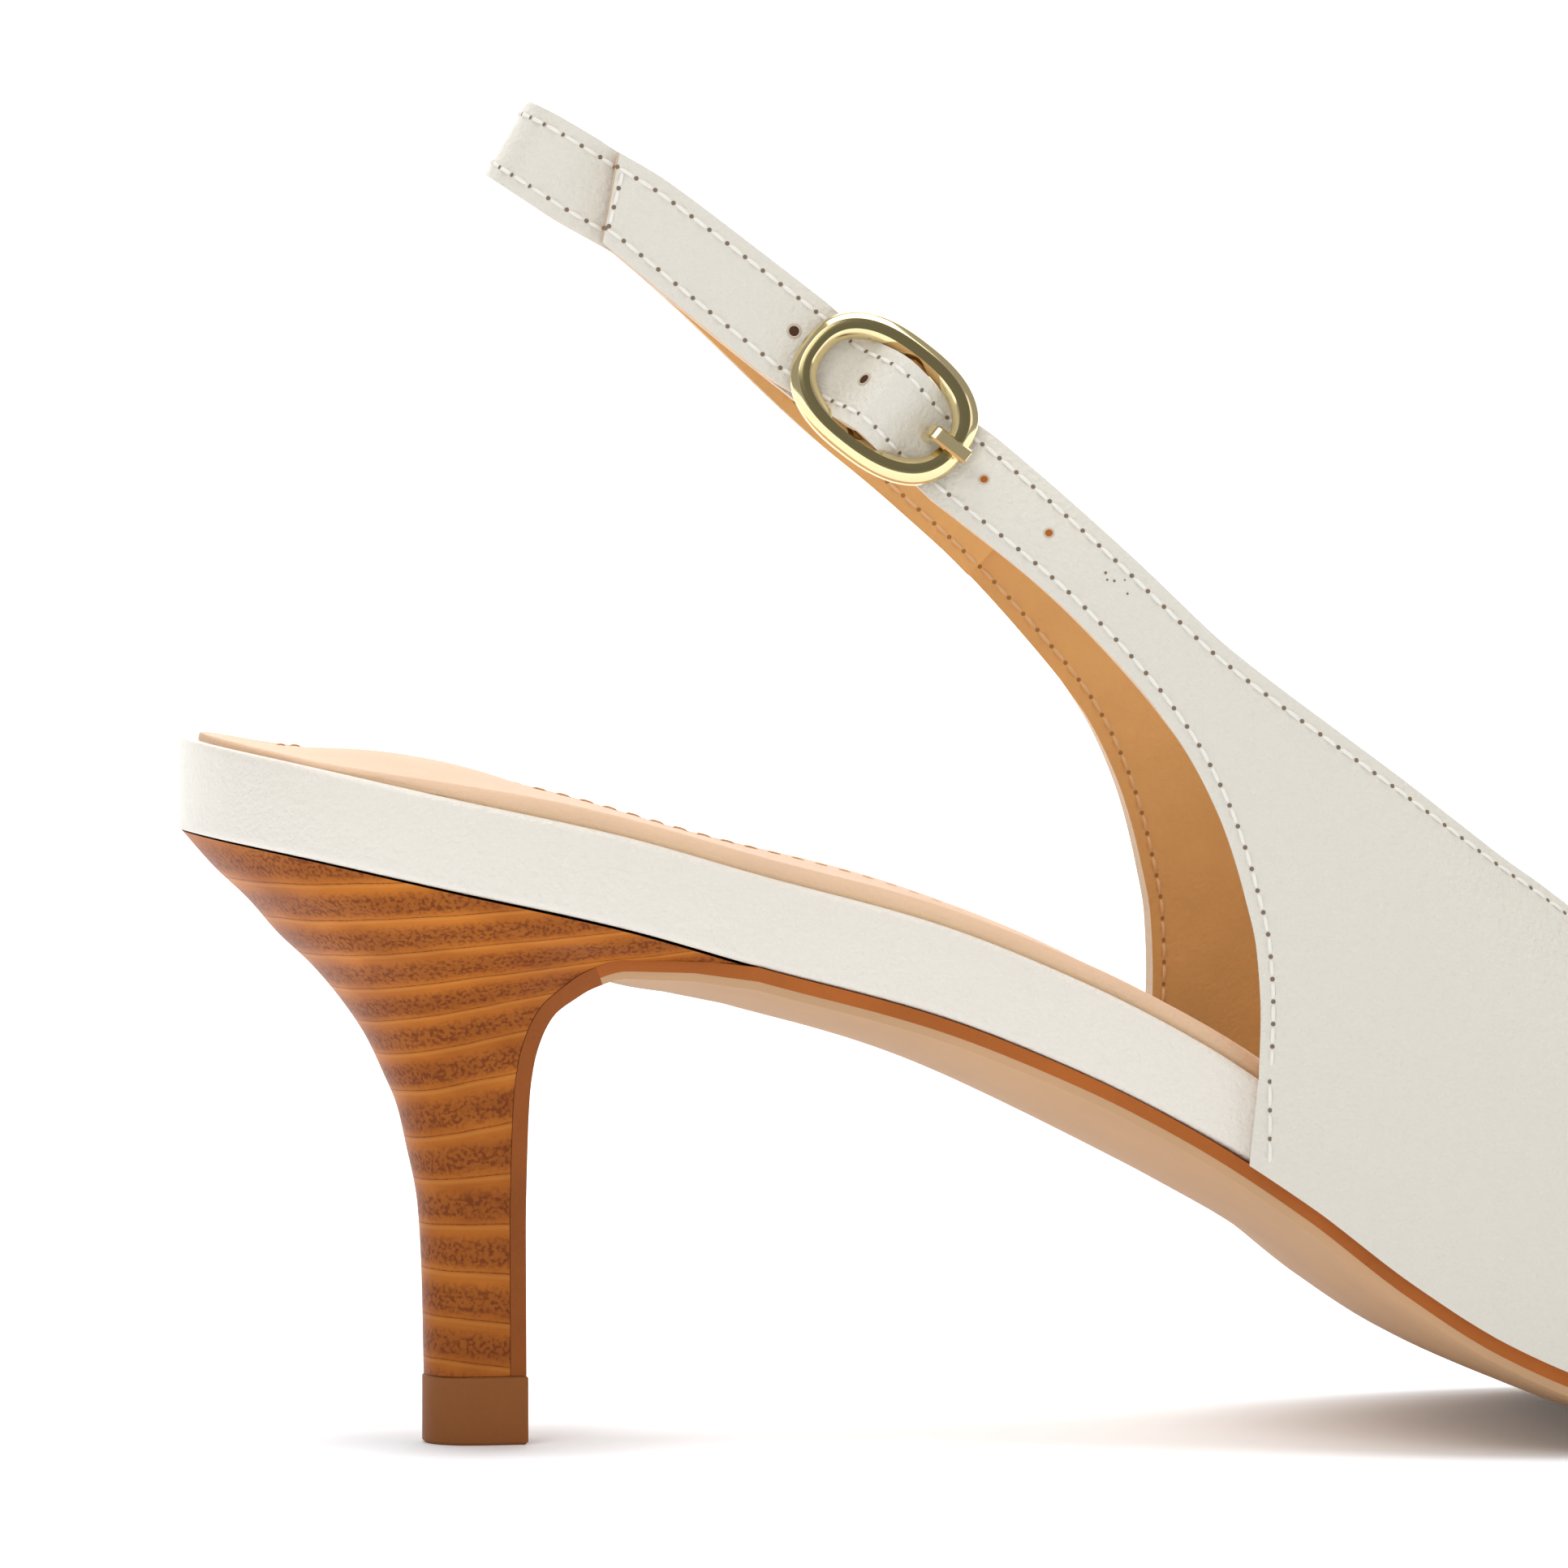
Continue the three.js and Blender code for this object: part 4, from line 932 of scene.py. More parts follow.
def heel_material() -> bpy.types.Material:
    """Makes the stacked heel's finish: each layer light at its top, with a painted highlight along that edge, and dark
    at its bottom.
    """
    graph = Graph("stacked_heel")
    layer = graph.nodes.new("ShaderNodeAttribute")
    layer.attribute_name = "layer"
    wave = graph.math("MULTIPLY", graph.math("SUBTRACT", graph.noise(140, 2.0), 0.5), 0.10)
    level = graph.math("FRACT", graph.math("ADD", layer.outputs["Fac"], wave))
    cloud = graph.noise(1.0, 3.0, graph.stretched((110, 110, 330)))
    grit = graph.noise(2300, 3.0)
    dark, light = (0, 0, 0, 1), (1, 1, 1, 1)
    depth = graph.ramp(level, ((0.0, light), (1.0, dark), (0.04, dark), (0.22, light), (0.55, light), (0.82, dark)))
    body = graph.ramp(cloud, ((0.3, tint(156, 86, 30)), (0.7, tint(184, 108, 40))))
    body = graph.mix(graph.math("MULTIPLY", depth, 0.5), body, tint(118, 62, 28))
    specks = graph.ramp(grit, ((0.46, dark), (0.6, light)))
    body = graph.mix(graph.math("MULTIPLY", graph.math("MULTIPLY", specks, depth), 0.75), body, tint(98, 44, 20))
    # The glint is a painted highlight along the top of each layer.
    glint = graph.ramp(level, ((0.0, dark), (1.0, dark), (0.86, dark), (0.94, light)))
    body = graph.mix(graph.math("MULTIPLY", glint, 0.28), body, tint(206, 146, 72))
    line = graph.ramp(level, ((0.0, light), (1.0, dark), (0.035, dark)))
    colour = graph.mix(graph.math("MULTIPLY", line, 0.4), body, tint(70, 38, 20))
    height = graph.nodes.new("ShaderNodeSeparateXYZ")
    graph.join(graph.place, height.inputs[0])
    low = graph.math("MULTIPLY", graph.math("SUBTRACT", 0.052, height.outputs["Z"]), 7.0)
    colour = graph.mix(graph.math("MULTIPLY", graph.math("MAXIMUM", low, 0.0), 0.5), colour, tint(120, 62, 32))
    inputs = graph.shader.inputs
    graph.join(colour, inputs["Base Color"])
    inputs["Roughness"].default_value = 0.42
    inputs["Specular IOR Level"].default_value = 0.06
    graph.bump(grit, 0.05, 0.0003)
    return graph.material


# Pieces


@dataclass
class Kit:
    """What every piece needs: materials by name and the buckle's place."""

    materials: dict[str, bpy.types.Material]
    buckle: BucklePlace

    def pick(self, *names: str) -> list[bpy.types.Material]:
        """Returns materials by name, in slot order."""
        return [self.materials[name] for name in names]


def set_in(obj: bpy.types.Object, slot: str, *nodes: str) -> bpy.types.Object:
    """Rides an object on the shoe and hides the CAD nodes that it stands for."""
    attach(obj, "root")
    if nodes:
        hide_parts(*nodes)
    return obj


def rib_rows(start: float, stop: float, step: float) -> list[float]:
    """Returns evenly spaced rows from start to stop, both included."""
    count = round((stop - start) / step)
    return [blend(start, stop, i / count) for i in range(count + 1)]


RIB_STEPS = 24


def upper_lines(buckle: BucklePlace, side: int) -> tuple[list[np.ndarray], int]:
    """Returns one side's ribs from the strap to the toe, and how many have a free lower edge."""
    first = 0.0 if side == Side.OUTER else MEDIAL_SEAM_ROW
    leg_rows = rib_rows(first, 2.0 * (len(LEG_RIBS) - 1), 0.125)
    if side == Side.OUTER:
        lines = [buckle.strap_line(row, RIB_STEPS) for row in leg_rows]
    else:
        lines = [rib_points(leg_rib(row), side, RIB_STEPS) for row in leg_rows]
    free = len(lines)
    lines += [rib_points(quarter_rib(row), side, RIB_STEPS) for row in rib_rows(0, 16, 0.2)]
    lines += [rib_points(vamp_rib(row), side, RIB_STEPS) for row in rib_rows(0, 11, 0.125)[1:]]
    return lines, free


def make_upper(kit: Kit) -> None:
    """Makes the vamp, quarters and holed strap with its lining, and their stitches."""
    surface = Surface()
    thread = Surface()
    tan_thread = Surface()
    holes = Surface()
    points, faces, level = [], [], []
    quarter_count = len(rib_rows(0, 16, 0.2))
    for side in Side:
        lines, free = upper_lines(kit.buckle, side)
        start = sum(len(block) for block in points)
        columns = RIB_STEPS + 1
        faces += [
            tuple(start + i for i in face)
            for face in grid_faces(len(lines), columns, flip=side == Side.OUTER)
        ]
        for number in range(len(lines)):
            level += [number >= free] + [False] * RIB_STEPS
        points.append(np.concatenate(lines))
        sheet = Sheet.of(lines, -side)
        open_sheet = Sheet(sheet.points[: free + quarter_count], sheet.normals[: free + quarter_count])
        leg_sheet = Sheet(sheet.points[:free], sheet.normals[:free])
        sew(thread, *open_sheet.inset(STITCH_INSET, True))
        sew(thread, *leg_sheet.inset(STITCH_INSET, False))
        sew(tan_thread, *open_sheet.inset(STITCH_INSET, True, UPPER_WALL), side=-1)
        sew(tan_thread, *leg_sheet.inset(STITCH_INSET, False, UPPER_WALL), side=-1)
        corner_x = length_at(QUARTER_RIBS[0].low_at) + STITCH_INSET
        drop = [
            (corner_x, middle_at(corner_x) + side * section_half(corner_x, z), z)
            for z in np.linspace(LEG_RIBS[-1].low_rise * STRAP_TOP - 0.5, underside(corner_x) + 0.8, 20)
        ]
        sew(thread, np.array(drop), np.tile((0.0, side, 0.1), (len(drop), 1)))
        end = sheet.points[round(STITCH_INSET / kit.buckle.pitch / 0.125) + 1, 4:-4]
        end_normals = sheet.normals[round(STITCH_INSET / kit.buckle.pitch / 0.125) + 1, 4:-4]
        sew(thread, end, end_normals, 1.9)
    count = sum(len(block) for block in points)
    walled(surface, np.concatenate(points), faces, np.zeros(count), np.full(count, -UPPER_WALL),
           np.array(level), (0, 1, 2))
    upper = surface.build("upper", kit.pick("upper_leather", "lining", "cut_edge"))
    set_in(upper, "upper", "upper")
    set_in(thread.build("upper_stitches", kit.pick("thread", "pinhole_painted_shade_and_scuff")), "upper")
    set_in(tan_thread.build("lining_stitches", kit.pick("tan_thread", "tan_pinhole_painted_shade")), "upper")
    for number, distance in enumerate(STRAP_HOLES):
        row = BUCKLE_ROW + distance / kit.buckle.pitch
        near = [kit.buckle.strap_line(row + shift, 4)[2] for shift in (-0.05, 0, 0.05)]
        run = (near[2] - near[0]) / np.linalg.norm(near[2] - near[0])
        line = kit.buckle.strap_line(row, 4)
        across = (line[3] - line[1]) / np.linalg.norm(line[3] - line[1])
        up = np.cross(run, across)
        add_hole(holes, near[1], (run, across, up), number > 2)
    for distance, share, radius in SCUFFS:
        line = kit.buckle.strap_line(BUCKLE_ROW + distance / kit.buckle.pitch, 20)
        spot = line[round(share * 20)] + np.array(kit.buckle.outward) * 0.04
        ring = [
            spot + (np.array(kit.buckle.along) * math.cos(a) + np.array(kit.buckle.across) * math.sin(a)) * radius
            for a in (2 * math.pi * k / 8 for k in range(8))
        ]
        holes.add(ring, [tuple(range(8))], 1)
    set_in(holes.build("strap_holes", kit.pick("hole_edge", "pinhole_painted_shade_and_scuff", "hole_floor_painted_shade", "sole_edge")), "upper")


def add_hole(holes: Surface, centre: np.ndarray, frame: Sequence[np.ndarray], fresh: bool) -> None:
    """Adds one punched hole: an edge in slot 0 and a floor of painted shade, lighter and smaller if the hole is
    unused.

    Args:
        holes: Where it is added.
        centre: Its place on the leather.
        frame: The directions along the strap, across it and outwards.
        fresh: Whether no prong has stretched it.
    """
    sides = 20
    run, across, up = frame
    radius = STRAP_HOLE_RADIUS * (0.72 if fresh else 1.0)
    profile = ((1.28, 0.02), (1.12, 0.07), (0.95, 0.05), (0.86, 0.02))
    rings = [
        np.array([
            centre + up * lift + (run * math.cos(a) + across * math.sin(a)) * radius * grow
            for a in (2 * math.pi * k / sides for k in range(sides))
        ])
        for grow, lift in profile
    ]
    holes.add(np.concatenate(rings), grid_faces(len(rings), sides, closed=True))
    # The floor disc is painted shade: dark in a used hole, the sole edge's brown in an unused one.
    holes.add(rings[-1], [tuple(range(sides))], 3 if fresh else 2)


def make_sling(kit: Kit) -> None:
    """Makes the sling strap, from the buckle's bar round the heel to the inner quarter."""
    rows = 10
    rear_top, rear_low = rib_ends(leg_rib(2), Side.OUTER)
    up_slope = Vector((rear_top[0] - rear_low[0], 0, rear_top[1] - rear_low[1])).normalized()
    rearward = Vector((-up_slope.z, 0, up_slope.x))
    centre = Vector(((rear_top[0] + rear_low[0]) / 2, 0, (rear_top[1] + rear_low[1]) / 2))
    lines: list[np.ndarray] = []
    sinks: list[float] = []
    for row in np.linspace(5.4, 2.0, 30):
        lines.append(rib_points(leg_rib(row), Side.OUTER, rows))
        sinks.append(1.0)
    steps = 44
    for i in range(steps + 1):
        angle = -math.pi / 2 + math.pi * i / steps
        middle = centre + rearward * (LOOP_REACH + LOOP_DEPTH * math.cos(angle))
        side_y = LOOP_HALF * math.sin(angle)
        low = SLING_TRIM * smooth(i / steps) - STRAP_WIDTH / 2
        lines.append(np.array([
            tuple(middle + up_slope * blend(low, STRAP_WIDTH / 2, j / rows) + Vector((0, side_y, 0)))
            for j in range(rows + 1)
        ]))
        sinks.append(1 - smooth(i * 14 / steps / 4))
    for row in np.linspace(2.7, 9.5, 64):
        line = rib_points(leg_rib(row), Side.INNER, rows)
        lines.append(line[-1] + (line - line[-1]) * (1 - SLING_TRIM * smooth((7 - row) / 4.3) / STRAP_WIDTH))
        sinks.append(smooth((row - 6.8) / 2))
    sink = -UPPER_GAP * np.repeat(sinks, rows + 1)
    surface = Surface()
    count = len(lines)
    walled(surface, np.concatenate(lines), grid_faces(count, rows + 1), sink,
           sink - STRAP_THICKNESS, np.zeros(len(sink), bool), (0, 1, 2))
    eye_inner = BAR_RADIUS + CLEARANCE
    eye_outer = eye_inner + EYE_WALL
    arc = [math.pi / 2 - math.pi * i / 24 for i in range(25)]
    outline = [(eye_outer * math.cos(a), BAR_LEVEL + eye_outer * math.sin(a)) for a in arc]
    outline += [(-3, -2.5), (-7.2, -UPPER_GAP - STRAP_THICKNESS), (-7.2, -UPPER_GAP), (-5, -UPPER_GAP),
                (-3, -0.95)]
    half = (STRAP_WIDTH - 0.7) / 2
    rings = [kit.buckle.place((x, y, z) for x, z in outline) for y in (-half, half)]
    loft(surface, rings, lambda r, c: 1, flip=True)
    set_in(surface.build("sling_strap", kit.pick("upper_leather", "lining", "cut_edge")), "upper", "sling_strap")
    thread = Surface()
    tan_thread = Surface()
    sheet = Sheet.of(lines, -1)
    sheet.points += sheet.normals * sink.reshape(count, rows + 1, 1)
    shown = Sheet(sheet.points[27:], sheet.normals[27:])
    for from_top in (False, True):
        sew(thread, *shown.inset(STITCH_INSET, from_top))
        sew(tan_thread, *shown.inset(STITCH_INSET, from_top, STRAP_THICKNESS), side=-1)
    set_in(thread.build("sling_stitches", kit.pick("thread", "pinhole_painted_shade_and_scuff")), "upper")
    set_in(tan_thread.build("sling_lining_stitches", kit.pick("tan_thread", "tan_pinhole_painted_shade")), "upper")


def along_sole(count: int, start: float = -HEEL_BACK, stop: float = TOE_TIP) -> list[float]:
    """Returns places along the sole that crowd towards both ends."""
    return [blend(start, stop, (1 - math.cos(math.pi * i / count)) / 2) for i in range(count + 1)]


def slab_rings(xs: Iterable[float], offset: Callable[[float], float], across: Sequence[float],
               bottom: Callable[[float, float], float], top: Callable[[float, float], float],
               bevel: float) -> list[np.ndarray]:
    """Returns the rings of a slab along the sole with rounded edges.

    Args:
        xs: Places along the shoe.
        offset: How far outside the sole's plan the slab reaches, at each place.
        across: Shares from -1 to 1 across it.
        bottom: Height of its bottom at a place and share.
        top: Height of its top.
        bevel: Radius of its long edges.
    """
    turn = [math.pi / 2 * k / 4 for k in range(5)]
    rings = []
    for x in xs:
        outer_x, outer_y, half = edge_point(-1, x, offset(x))
        inner_x, inner_y, _ = edge_point(1, x, offset(x))
        inset = min(bevel, 0.4 * half) / max(half, 1.0)
        lift = min(bevel, 0.45 * (top(x, 0) - bottom(x, 0)))
        ring = []

        def place(s: float, z: float) -> None:
            share = (s + 1) / 2
            ring.append((blend(outer_x, inner_x, share), blend(outer_y, inner_y, share), z))

        for s in across:
            place(s * (1 - inset), bottom(x, s))
        for a in turn[1:]:
            place(1 - inset * (1 - math.sin(a)), bottom(x, 1) + lift * (1 - math.cos(a)))
        for a in turn[::-1][:-1]:
            place(1 - inset * (1 - math.sin(a)), top(x, 1) - lift * (1 - math.cos(a)))
        for s in across[::-1]:
            place(s * (1 - inset), top(x, s))
        for a in turn[1:]:
            place(-1 + inset * (1 - math.sin(a)), top(x, -1) - lift * (1 - math.cos(a)))
        for a in turn[::-1][:-1]:
            place(-1 + inset * (1 - math.sin(a)), bottom(x, -1) + lift * (1 - math.cos(a)))
        rings.append(np.array(ring))
    return rings


def inside_upper(x: float) -> float:
    """Returns 1 where the upper wraps the midsole and 0 behind it."""
    return smooth((x - length_at(QUARTER_RIBS[0].low_at) + 4) / 8)


def insole_top(x: float, s: float) -> float:
    """Returns the height of the insole's face, with its heel cushion and arch."""
    pad = PAD_HEIGHT * smooth(1.15 - math.hypot((x - length_at(0.092)) / 15, s / 0.95))
    arch = ARCH_LIFT * smooth((s - 0.3) / 0.6) * smooth(1 - abs(x - length_at(0.4)) / 50)
    thin = SEAT_THINNING * (1 - smooth((x + 24) / 28))
    return underside(x) + midsole_height(x) + CLEARANCE + INSOLE_THICKNESS + pad + arch - thin


def make_foot_bed(kit: Kit) -> None:
    """Makes the wrapped midsole and the padded insole."""
    surface = Surface()
    across = [-1, -0.6, 0, 0.6, 1]
    rings = slab_rings(
        along_sole(220),
        lambda x: -CLEARANCE * inside_upper(x) - 2 * smooth((x - length_at(0.945)) / 12),
        across, lambda x, s: underside(x), lambda x, s: underside(x) + midsole_height(x), RIM_BEVEL,
    )
    loft(surface, rings)
    set_in(surface.build("wrapped_midsole", kit.pick("rim_leather"), 60), "rim", "wrapped_midsole")

    surface = Surface()
    across = [k / 12 for k in range(-12, 13)]
    rings = slab_rings(
        along_sole(220),
        lambda x: -blend(1.4, 2.6, inside_upper(x)) - 4 * smooth((x - length_at(0.93)) / 18)
        - 0.8 * smooth((-18 - x) / 10),
        across, lambda x, s: underside(x) + midsole_height(x) - 0.9, insole_top, INSOLE_BEVEL,
    )
    bare_end, bare_start = len(across) + 4, 2 * len(across) + 10

    def slot_of(ring: int, column: int) -> int:
        return 1 if column < bare_end or column > bare_start else 0

    loft(surface, rings, slot_of)
    insole = surface.build("insole", kit.pick("sock", "sock_edge"), 60)
    set_in(insole, "insole", "insole")
    thread = Surface()
    for start, stop in ((-27.0, -21.0), (1.0, 56.0)):
        line = []
        for x in np.linspace(start, stop, 60):
            edge_x, edge_y, half = edge_point(Side.INNER, x, -9.0)
            line.append((edge_x, edge_y, insole_top(edge_x, 1 - 9.0 / half)))
        sew(thread, np.array(line), np.tile((0.0, 0.0, 1.0), (len(line), 1)), 2.4, radius=0.14)
    set_in(thread.build("insole_stitches", kit.pick("tan_thread", "tan_pinhole_painted_shade")), "insole")


@dataclass
class HeelLevel:
    """One level of the heel, in millimetres."""

    back: float
    front: float
    back_z: float
    front_z: float
    half: float


HEEL_TOP = HEEL_TIP_HEIGHT + CLEARANCE
SEAT_BACK_Z = underside(-HEEL_BACK) - CLEARANCE
SEAT_FRONT_X = HEEL_LEVELS[0].front * SEAT_WIDTH
HEEL_CURVES = curves_by_index(HEEL_LEVELS)


def heel_level(row: float) -> HeelLevel:
    """Returns the heel's level at a row of its table, 0 at the seat."""
    back, front, back_rise, front_rise, half = (curve(row) for curve in HEEL_CURVES)
    return HeelLevel(
        -back * SEAT_WIDTH, front * SEAT_WIDTH, blend(HEEL_TOP, SEAT_BACK_Z, back_rise),
        blend(HEEL_TOP, SEAT_BACK_Z, front_rise), half * SEAT_WIDTH,
    )


def heel_ring(level: HeelLevel, fade: float, steps: int = 36) -> np.ndarray:
    """Returns a ring of the heel. fade is 1 where it follows the seat and 0 where it is straight."""
    top = heel_level(0)

    def point(share: float, side: int) -> Point:
        seat_x = blend(-HEEL_BACK, SEAT_FRONT_X, share)
        ratio = edge_point(side, seat_x)[2] / (SEAT_WIDTH / 2)
        seat_z = underside(seat_x) - CLEARANCE
        chord_z = blend(top.back_z, top.front_z, share)
        z = blend(level.back_z, level.front_z, share) + (seat_z - chord_z) * fade
        return blend(level.back, level.front, share), side * ratio * level.half, z

    shares = [(i / steps) ** 2 for i in range(steps + 1)]
    ring = [point(s, -1) for s in shares[::-1]] + [point(s, 1) for s in shares[1:]]
    return np.array(ring)


def layer_at(x: float, z: float) -> float:
    """Returns which of the heel's layers a point is in, with the share of the way up it."""
    heights = [height + slope * x for height, slope in HEEL_LAYERS]
    return float(np.interp(z, heights, range(len(heights))))


def make_heel(kit: Kit) -> None:
    """Makes the stacked heel and the tip that it stands on."""
    surface = Surface()
    rows = rib_rows(0, len(HEEL_LEVELS) - 1, 0.125)
    loft(surface, [heel_ring(heel_level(row), max(0.0, 1 - row / 3)) for row in rows])
    heel = surface.build("heel", kit.pick("stacked_heel"))
    layers = heel.data.attributes.new("layer", "FLOAT", "POINT")
    values = [layer_at(v.co.x / MM, v.co.z / MM) for v in heel.data.vertices]
    layers.data.foreach_set("value", values)
    set_in(heel, "heel", "heel")

    last = heel_level(len(HEEL_LEVELS) - 1)

    def tip_ring(z: float, grow: float) -> np.ndarray:
        front = last.front + CLEARANCE + FLAP_THICKNESS + grow
        return heel_ring(HeelLevel(last.back - grow, front, z, z, last.half + grow), 0.0)

    surface = Surface()
    loft(surface, [tip_ring(0, -0.15), tip_ring(0.3, 0.15), tip_ring(HEEL_TOP - 0.2, 0.15),
                   tip_ring(HEEL_TOP - HAIRLINE, 0.0)], flip=True)
    set_in(surface.build("heel_tip", kit.pick("tip")), "heel_tip", "heel_tip")


CROWN_ACROSS = [k / 14 for k in range(-14, 15)]


def sole_ring(x: float) -> np.ndarray:
    """Returns a ring of the outsole between the toe and the heel's breast."""
    offset = 1.2 * smooth((x - 60) / 30) - 0.3
    outer_x, outer_y, half = edge_point(-1, x, offset)
    inner_x, inner_y, _ = edge_point(1, x, offset)
    top = underside(x) - HAIRLINE
    slope = RISE.rate(x) + SPRING.rate(x)
    crown = CROWN(x) * min(1.0, half / 6) * blend(CROWN_TRIM, 1.0, smooth((x - 30) / 35))
    flat = smooth((x - length_at(0.44)) / (length_at(0.56) - length_at(0.44)))
    drop = OUTSOLE_EDGE * math.sqrt(1 + slope**2)

    def place(s: float, z: float) -> Point:
        share = (s + 1) / 2
        return blend(outer_x, inner_x, share), blend(outer_y, inner_y, share), z

    ring = [place(-1, top), place(-1, top - drop * EDGE_SHARE)]
    for s in CROWN_ACROSS:
        rise = blend(s**2, max(0.0, (abs(s) - 0.5) / 0.5) ** 1.6, flat)
        ring.append(place(s * 0.985, top - drop - crown * (1 - rise)))
    ring += [place(1, top - drop * EDGE_SHARE), place(1, top)]
    return np.array(ring)


def flap_ring(row: float) -> np.ndarray:
    """Returns a ring of the outsole where it runs down the heel's breast."""
    last = len(HEEL_LEVELS) - 1
    here, before, after = heel_level(row), heel_level(max(row - 1, 0)), heel_level(min(row + 1, last))
    run = math.hypot(after.front - before.front, after.front_z - before.front_z)
    normal = (-(after.front_z - before.front_z) / run, (after.front - before.front) / run)
    if row >= last - 0.01:
        normal = (1.0, 0.0)
    thickness = blend(OUTSOLE_EDGE * 0.9, FLAP_THICKNESS, clamp01(row / 5))
    crown = CROWN_TRIM * WAIST_CROWN * (1 - smooth((row + 0.5) / 5))
    edge = (CLEARANCE + thickness) * EDGE_SHARE

    def place(s: float, distance: float) -> Point:
        return here.front + normal[0] * distance, s * here.half * 0.96, here.front_z + normal[1] * distance

    ring = [place(-1, HAIRLINE), place(-1, edge)]
    ring += [place(s * 0.985, CLEARANCE + thickness + crown * (1 - s**2)) for s in CROWN_ACROSS]
    ring += [place(1, edge), place(1, HAIRLINE)]
    return np.array(ring)


def make_outsole(kit: Kit) -> None:
    """Makes the outsole and its flap: slot 0 the edge, slot 1 the tread and waist, slot 2 the breast."""
    surface = Surface()
    xs = [x for x in along_sole(240)[::-1][:-1] if x > SEAT_FRONT_X + 1]
    rings = [sole_ring(x) for x in xs] + [flap_ring(row) for row in rib_rows(0.7, len(HEEL_LEVELS) - 1, 0.2)]
    columns = len(CROWN_ACROSS) + 4

    def slot_of(ring: int, column: int) -> int:
        if ring > len(xs) + 9:
            return 2
        return 0 if column in (0, columns - 2, columns - 1) else 1

    loft(surface, rings, slot_of, flip=True)
    set_in(surface.build("outsole", kit.pick("sole_edge", "sole_face", "breast")), "outsole", "outsole")


def oval(angle: float, length: float, width: float) -> tuple[float, float]:
    """Returns a point on the buckle's rounded oval."""
    def swell(value: float) -> float:
        return math.copysign(abs(value) ** 0.82, value)
    return length / 2 * swell(math.cos(angle)), width / 2 * swell(math.sin(angle))


def make_buckle(kit: Kit) -> None:
    """Makes the buckle's ring with its bar, and the prong."""
    buckle = kit.buckle
    surface = Surface()
    segments = 120
    height = RING_THICKNESS
    profile = ((-0.1, 0.1), (-0.1, height - 0.75), (-0.04, height - 0.5), (0.18, height - 0.12), (0.26, height - 0.02),
               (0.5, height), (0.7, height - 0.02), (0.76, height - 0.12), (0.94, height - 0.5),
               (1.0, height - 0.75), (1.0, 0.1), (0.9, 0.0), (0.0, 0.0))
    rings = []
    for k in range(segments):
        angle = 2 * math.pi * k / segments
        outer = oval(angle, RING_LENGTH, RING_WIDTH)
        inner = oval(angle, RING_LENGTH - 2 * RING_BAND, RING_WIDTH - 2 * RING_BAND)
        rings.append([
            (blend(outer[0], inner[0], share), blend(outer[1], inner[1], share), buckle.seat + level)
            for share, level in profile
        ])
    columns = len(profile)
    points = buckle.place(point for ring in rings for point in ring)
    for k in range(segments):
        after = (k + 1) % segments
        for c in range(columns):
            d = (c + 1) % columns
            face = (k * columns + c, k * columns + d, after * columns + d, after * columns + c)
            surface.faces.append(face[::-1])
            # The flat top band takes the darker gold, a painted dark reflection.
            surface.slots.append(1 if c in (4, 5) else 0)
    surface.points.extend(points)
    reach = (RING_WIDTH - 2 * RING_BAND + 1.6) / 2
    bar = [
        buckle.place(
            (BAR_RADIUS * math.cos(a), y, BAR_LEVEL + BAR_RADIUS * math.sin(a))
            for a in (2 * math.pi * k / 20 for k in range(20))
        )
        for y in (-reach, reach)
    ]
    loft(surface, bar)
    set_in(surface.build("buckle_frame", kit.pick("gold", "gold_flat_painted_reflection"), 30), "buckle", "buckle_frame")

    rise = buckle.seat + RING_THICKNESS + CLEARANCE + PRONG_THICKNESS / 2
    knots = ((1.3, 0.5), (3.0, 0.1), (4.4, -0.5), (5.2, -0.4), (5.7, 0.8), (6.1, rise - 0.5), (6.6, rise - 0.05),
             (7.1, rise), (RING_LENGTH / 2 + 0.9, rise))
    level = Curve([x for x, _ in knots], [z for _, z in knots])
    section = ((-1, -0.7), (-0.8, -1), (0.8, -1), (1, -0.7), (1, 0.45), (0.72, 1), (-0.72, 1), (-1, 0.45))
    stations = list(np.linspace(1.3, RING_LENGTH / 2 + 0.9, 56))
    rings = []
    for number, x in enumerate(stations):
        near_end = number >= len(stations) - 2
        scale = 0.86 if number == len(stations) - 1 else 1.0
        half_width = PRONG_WIDTH * 0.6 * (scale if near_end else 1.0)
        half_height = PRONG_THICKNESS / 2 * (scale if near_end else 1.0)
        lean = math.atan(level.rate(x)) * 0.8
        rings.append(buckle.place(
            (x - math.sin(lean) * half_height * z, half_width * y, level(x) + math.cos(lean) * half_height * z)
            for y, z in section
        ))
    surface = Surface()
    loft(surface, rings)
    inner = BAR_RADIUS + CLEARANCE
    wall = [(inner, -1), (inner + EYE_WALL, -1), (inner + EYE_WALL, 1), (inner, 1)]
    eye_points = buckle.place(
        (r * math.cos(a), PRONG_WIDTH / 2 * y, BAR_LEVEL + r * math.sin(a))
        for a in (2 * math.pi * k / 28 for k in range(28))
        for r, y in wall
    )
    faces = grid_faces(28, 4, closed=True) + [
        (27 * 4 + c, 27 * 4 + (c + 1) % 4, (c + 1) % 4, c) for c in range(4)
    ]
    surface.add(eye_points, faces)
    set_in(surface.build("buckle_prong", kit.pick("gold"), 30), "buckle", "buckle_prong")


# Stage


def plane(name: str, corners: Sequence[Point], material: bpy.types.Material) -> bpy.types.Object:
    """Makes a flat backdrop from its four corners, in metres."""
    mesh = bpy.data.meshes.new(name)
    mesh.from_pydata(list(corners), [], [(0, 1, 2, 3)])
    mesh.materials.append(material)
    obj = bpy.data.objects.new(name, mesh)
    bpy.context.scene.collection.objects.link(obj)
    return obj


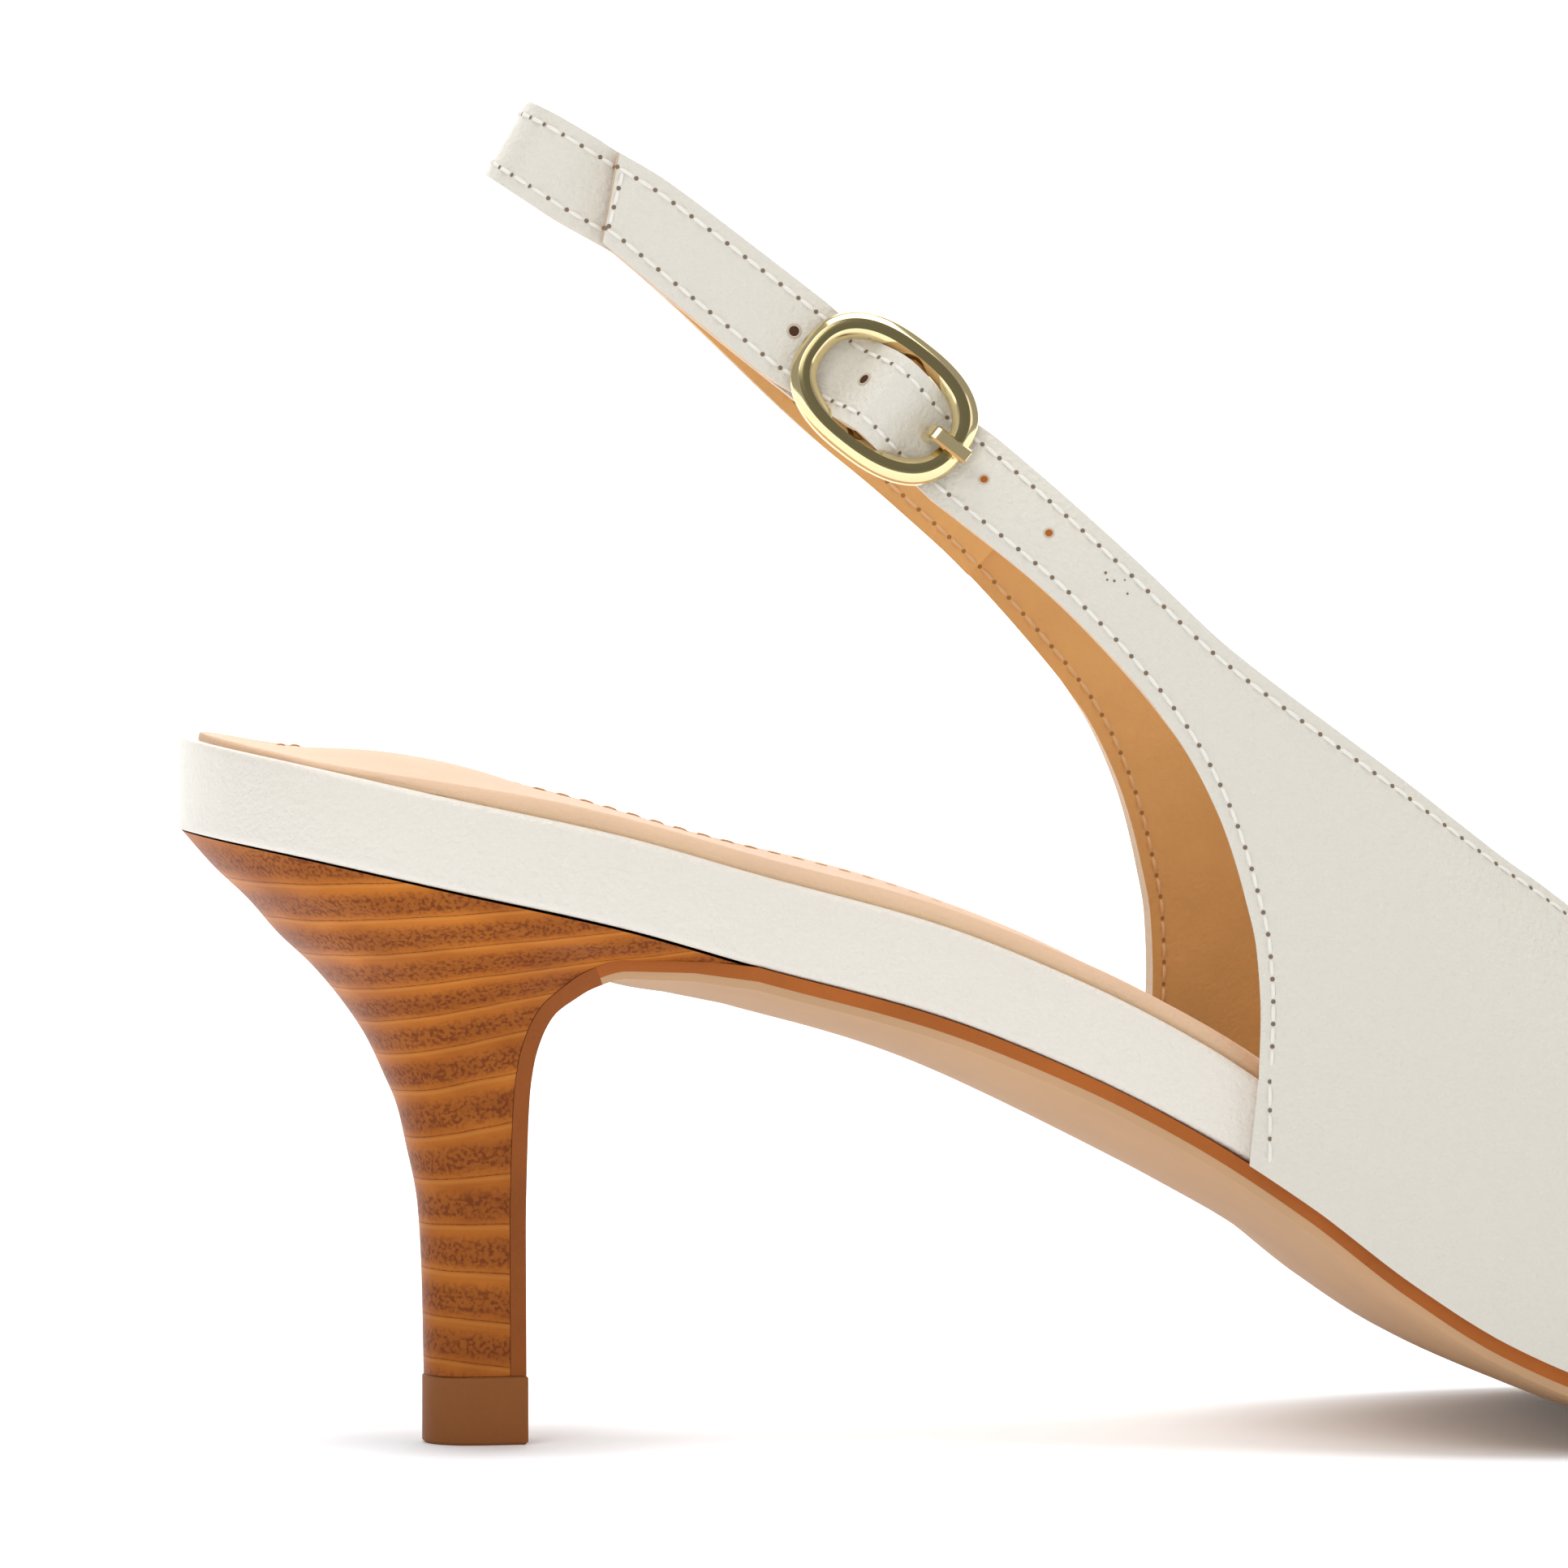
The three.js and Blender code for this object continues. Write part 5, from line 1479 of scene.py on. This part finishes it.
def glowing(name: str, colour: Colour, glow: float) -> Graph:
    """Makes a white studio surface that is partly lit from within."""
    graph = Graph(name)
    inputs = graph.shader.inputs
    inputs["Base Color"].default_value = colour
    inputs["Roughness"].default_value = 0.9
    inputs["Specular IOR Level"].default_value = 0.1
    inputs["Emission Color"].default_value = (1, 1, 1, 1)
    inputs["Emission Strength"].default_value = glow
    return graph


def floor_white() -> bpy.types.Material:
    """Makes the floor. It glows less round the tip and the ball, so that only their shadows show."""
    graph = glowing("floor_white", (0.88, 0.92, 0.96, 1), 0.3)
    heel = graph.fade(graph.distance((0, 0, 0)), 0.008, 0.03, 0.08, 0.3)
    ball = graph.fade(graph.distance((0.15, 0, 0)), 0.05, 0.085, 0.05, 0.3)
    far = graph.fade(graph.distance((0, 0, 0)), 0.4, 1.0, 0.0, 1.1)
    graph.join(graph.math("MAXIMUM", graph.math("MINIMUM", heel, ball), far),
               graph.shader.inputs["Emission Strength"])
    return graph.material


@dataclass(frozen=True)
class Lamp:
    """One soft light: where it is, how big, how strong, and what it points at, in metres."""

    name: str
    place: Point
    size: float
    power: float
    target: Point = (0.05, 0.0, 0.06)


LAMPS = (
    Lamp("key", (-0.9, -1.3, 1.5), 0.9, 9),
    Lamp("fill", (1.4, -1.2, 0.9), 1.0, 3),
    Lamp("back", (0.2, 1.2, 1.3), 0.9, 3),
    Lamp("top", (0.1, 0.0, 1.6), 1.4, 19),
)


def make_stage() -> None:
    """Makes the white sweep, the lights and the world."""
    floor = plane("floor", ((-8, -8, 0), (8, -8, 0), (8, 8, 0), (-8, 8, 0)), floor_white())
    wall = plane("backdrop", ((-8, 8, -1), (8, 8, -1), (8, 8, 8), (-8, 8, 8)),
                 glowing("wall_white", (1, 1, 1, 1), 1.2).material)
    for lamp in LAMPS:
        light = bpy.data.lights.new(lamp.name, "AREA")
        light.size = lamp.size
        light.energy = lamp.power
        obj = bpy.data.objects.new(lamp.name, light)
        obj.location = lamp.place
        aim = Vector(lamp.target) - Vector(lamp.place)
        obj.rotation_euler = aim.to_track_quat("-Z", "Y").to_euler()
        bpy.context.scene.collection.objects.link(obj)
    world = bpy.data.worlds.new("studio")
    world.use_nodes = True
    background = world.node_tree.nodes["Background"]
    background.inputs["Color"].default_value = (1, 1, 1, 1)
    background.inputs["Strength"].default_value = 0.42
    bpy.context.scene.world = world
    bpy.context.scene.view_settings.view_transform = "Standard"


# Camera

CAMERA_AZIMUTH = 10.5
CAMERA_ELEVATION = 3.5
CAMERA_DISTANCE = 2.0
CAMERA_TARGET = Vector((0.02665, -0.025, 0.0669))
CAMERA_LENS = 465.8
CAMERA_SENSOR = 36.0


def make_camera() -> None:
    """Sets the camera to the photo's view."""
    turn, lift = math.radians(CAMERA_AZIMUTH), math.radians(CAMERA_ELEVATION)
    forward = Vector((math.sin(turn) * math.cos(lift), math.cos(turn) * math.cos(lift), -math.sin(lift)))
    data = bpy.data.cameras.new("camera")
    data.lens = CAMERA_LENS
    data.sensor_width = CAMERA_SENSOR
    data.clip_start, data.clip_end = 0.05, 50.0
    camera = bpy.data.objects.new("camera", data)
    camera.location = CAMERA_TARGET - forward * CAMERA_DISTANCE
    camera.rotation_euler = forward.to_track_quat("-Z", "Y").to_euler()
    bpy.context.scene.collection.objects.link(camera)
    bpy.context.scene.camera = camera


def main() -> None:
    """Builds the whole scene."""
    logging.basicConfig(level=logging.INFO, format="%(name)s: %(message)s")
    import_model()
    materials = {name: plain_material(name, finish) for name, finish in FINISHES.items()}
    materials["stacked_heel"] = heel_material()
    kit = Kit(materials, BucklePlace())
    for make in (make_outsole, make_foot_bed, make_heel, make_upper, make_sling, make_buckle):
        make(kit)
        LOG.info("%s done", make.__name__)
    make_stage()
    make_camera()


if __name__ == "__main__":
    main()
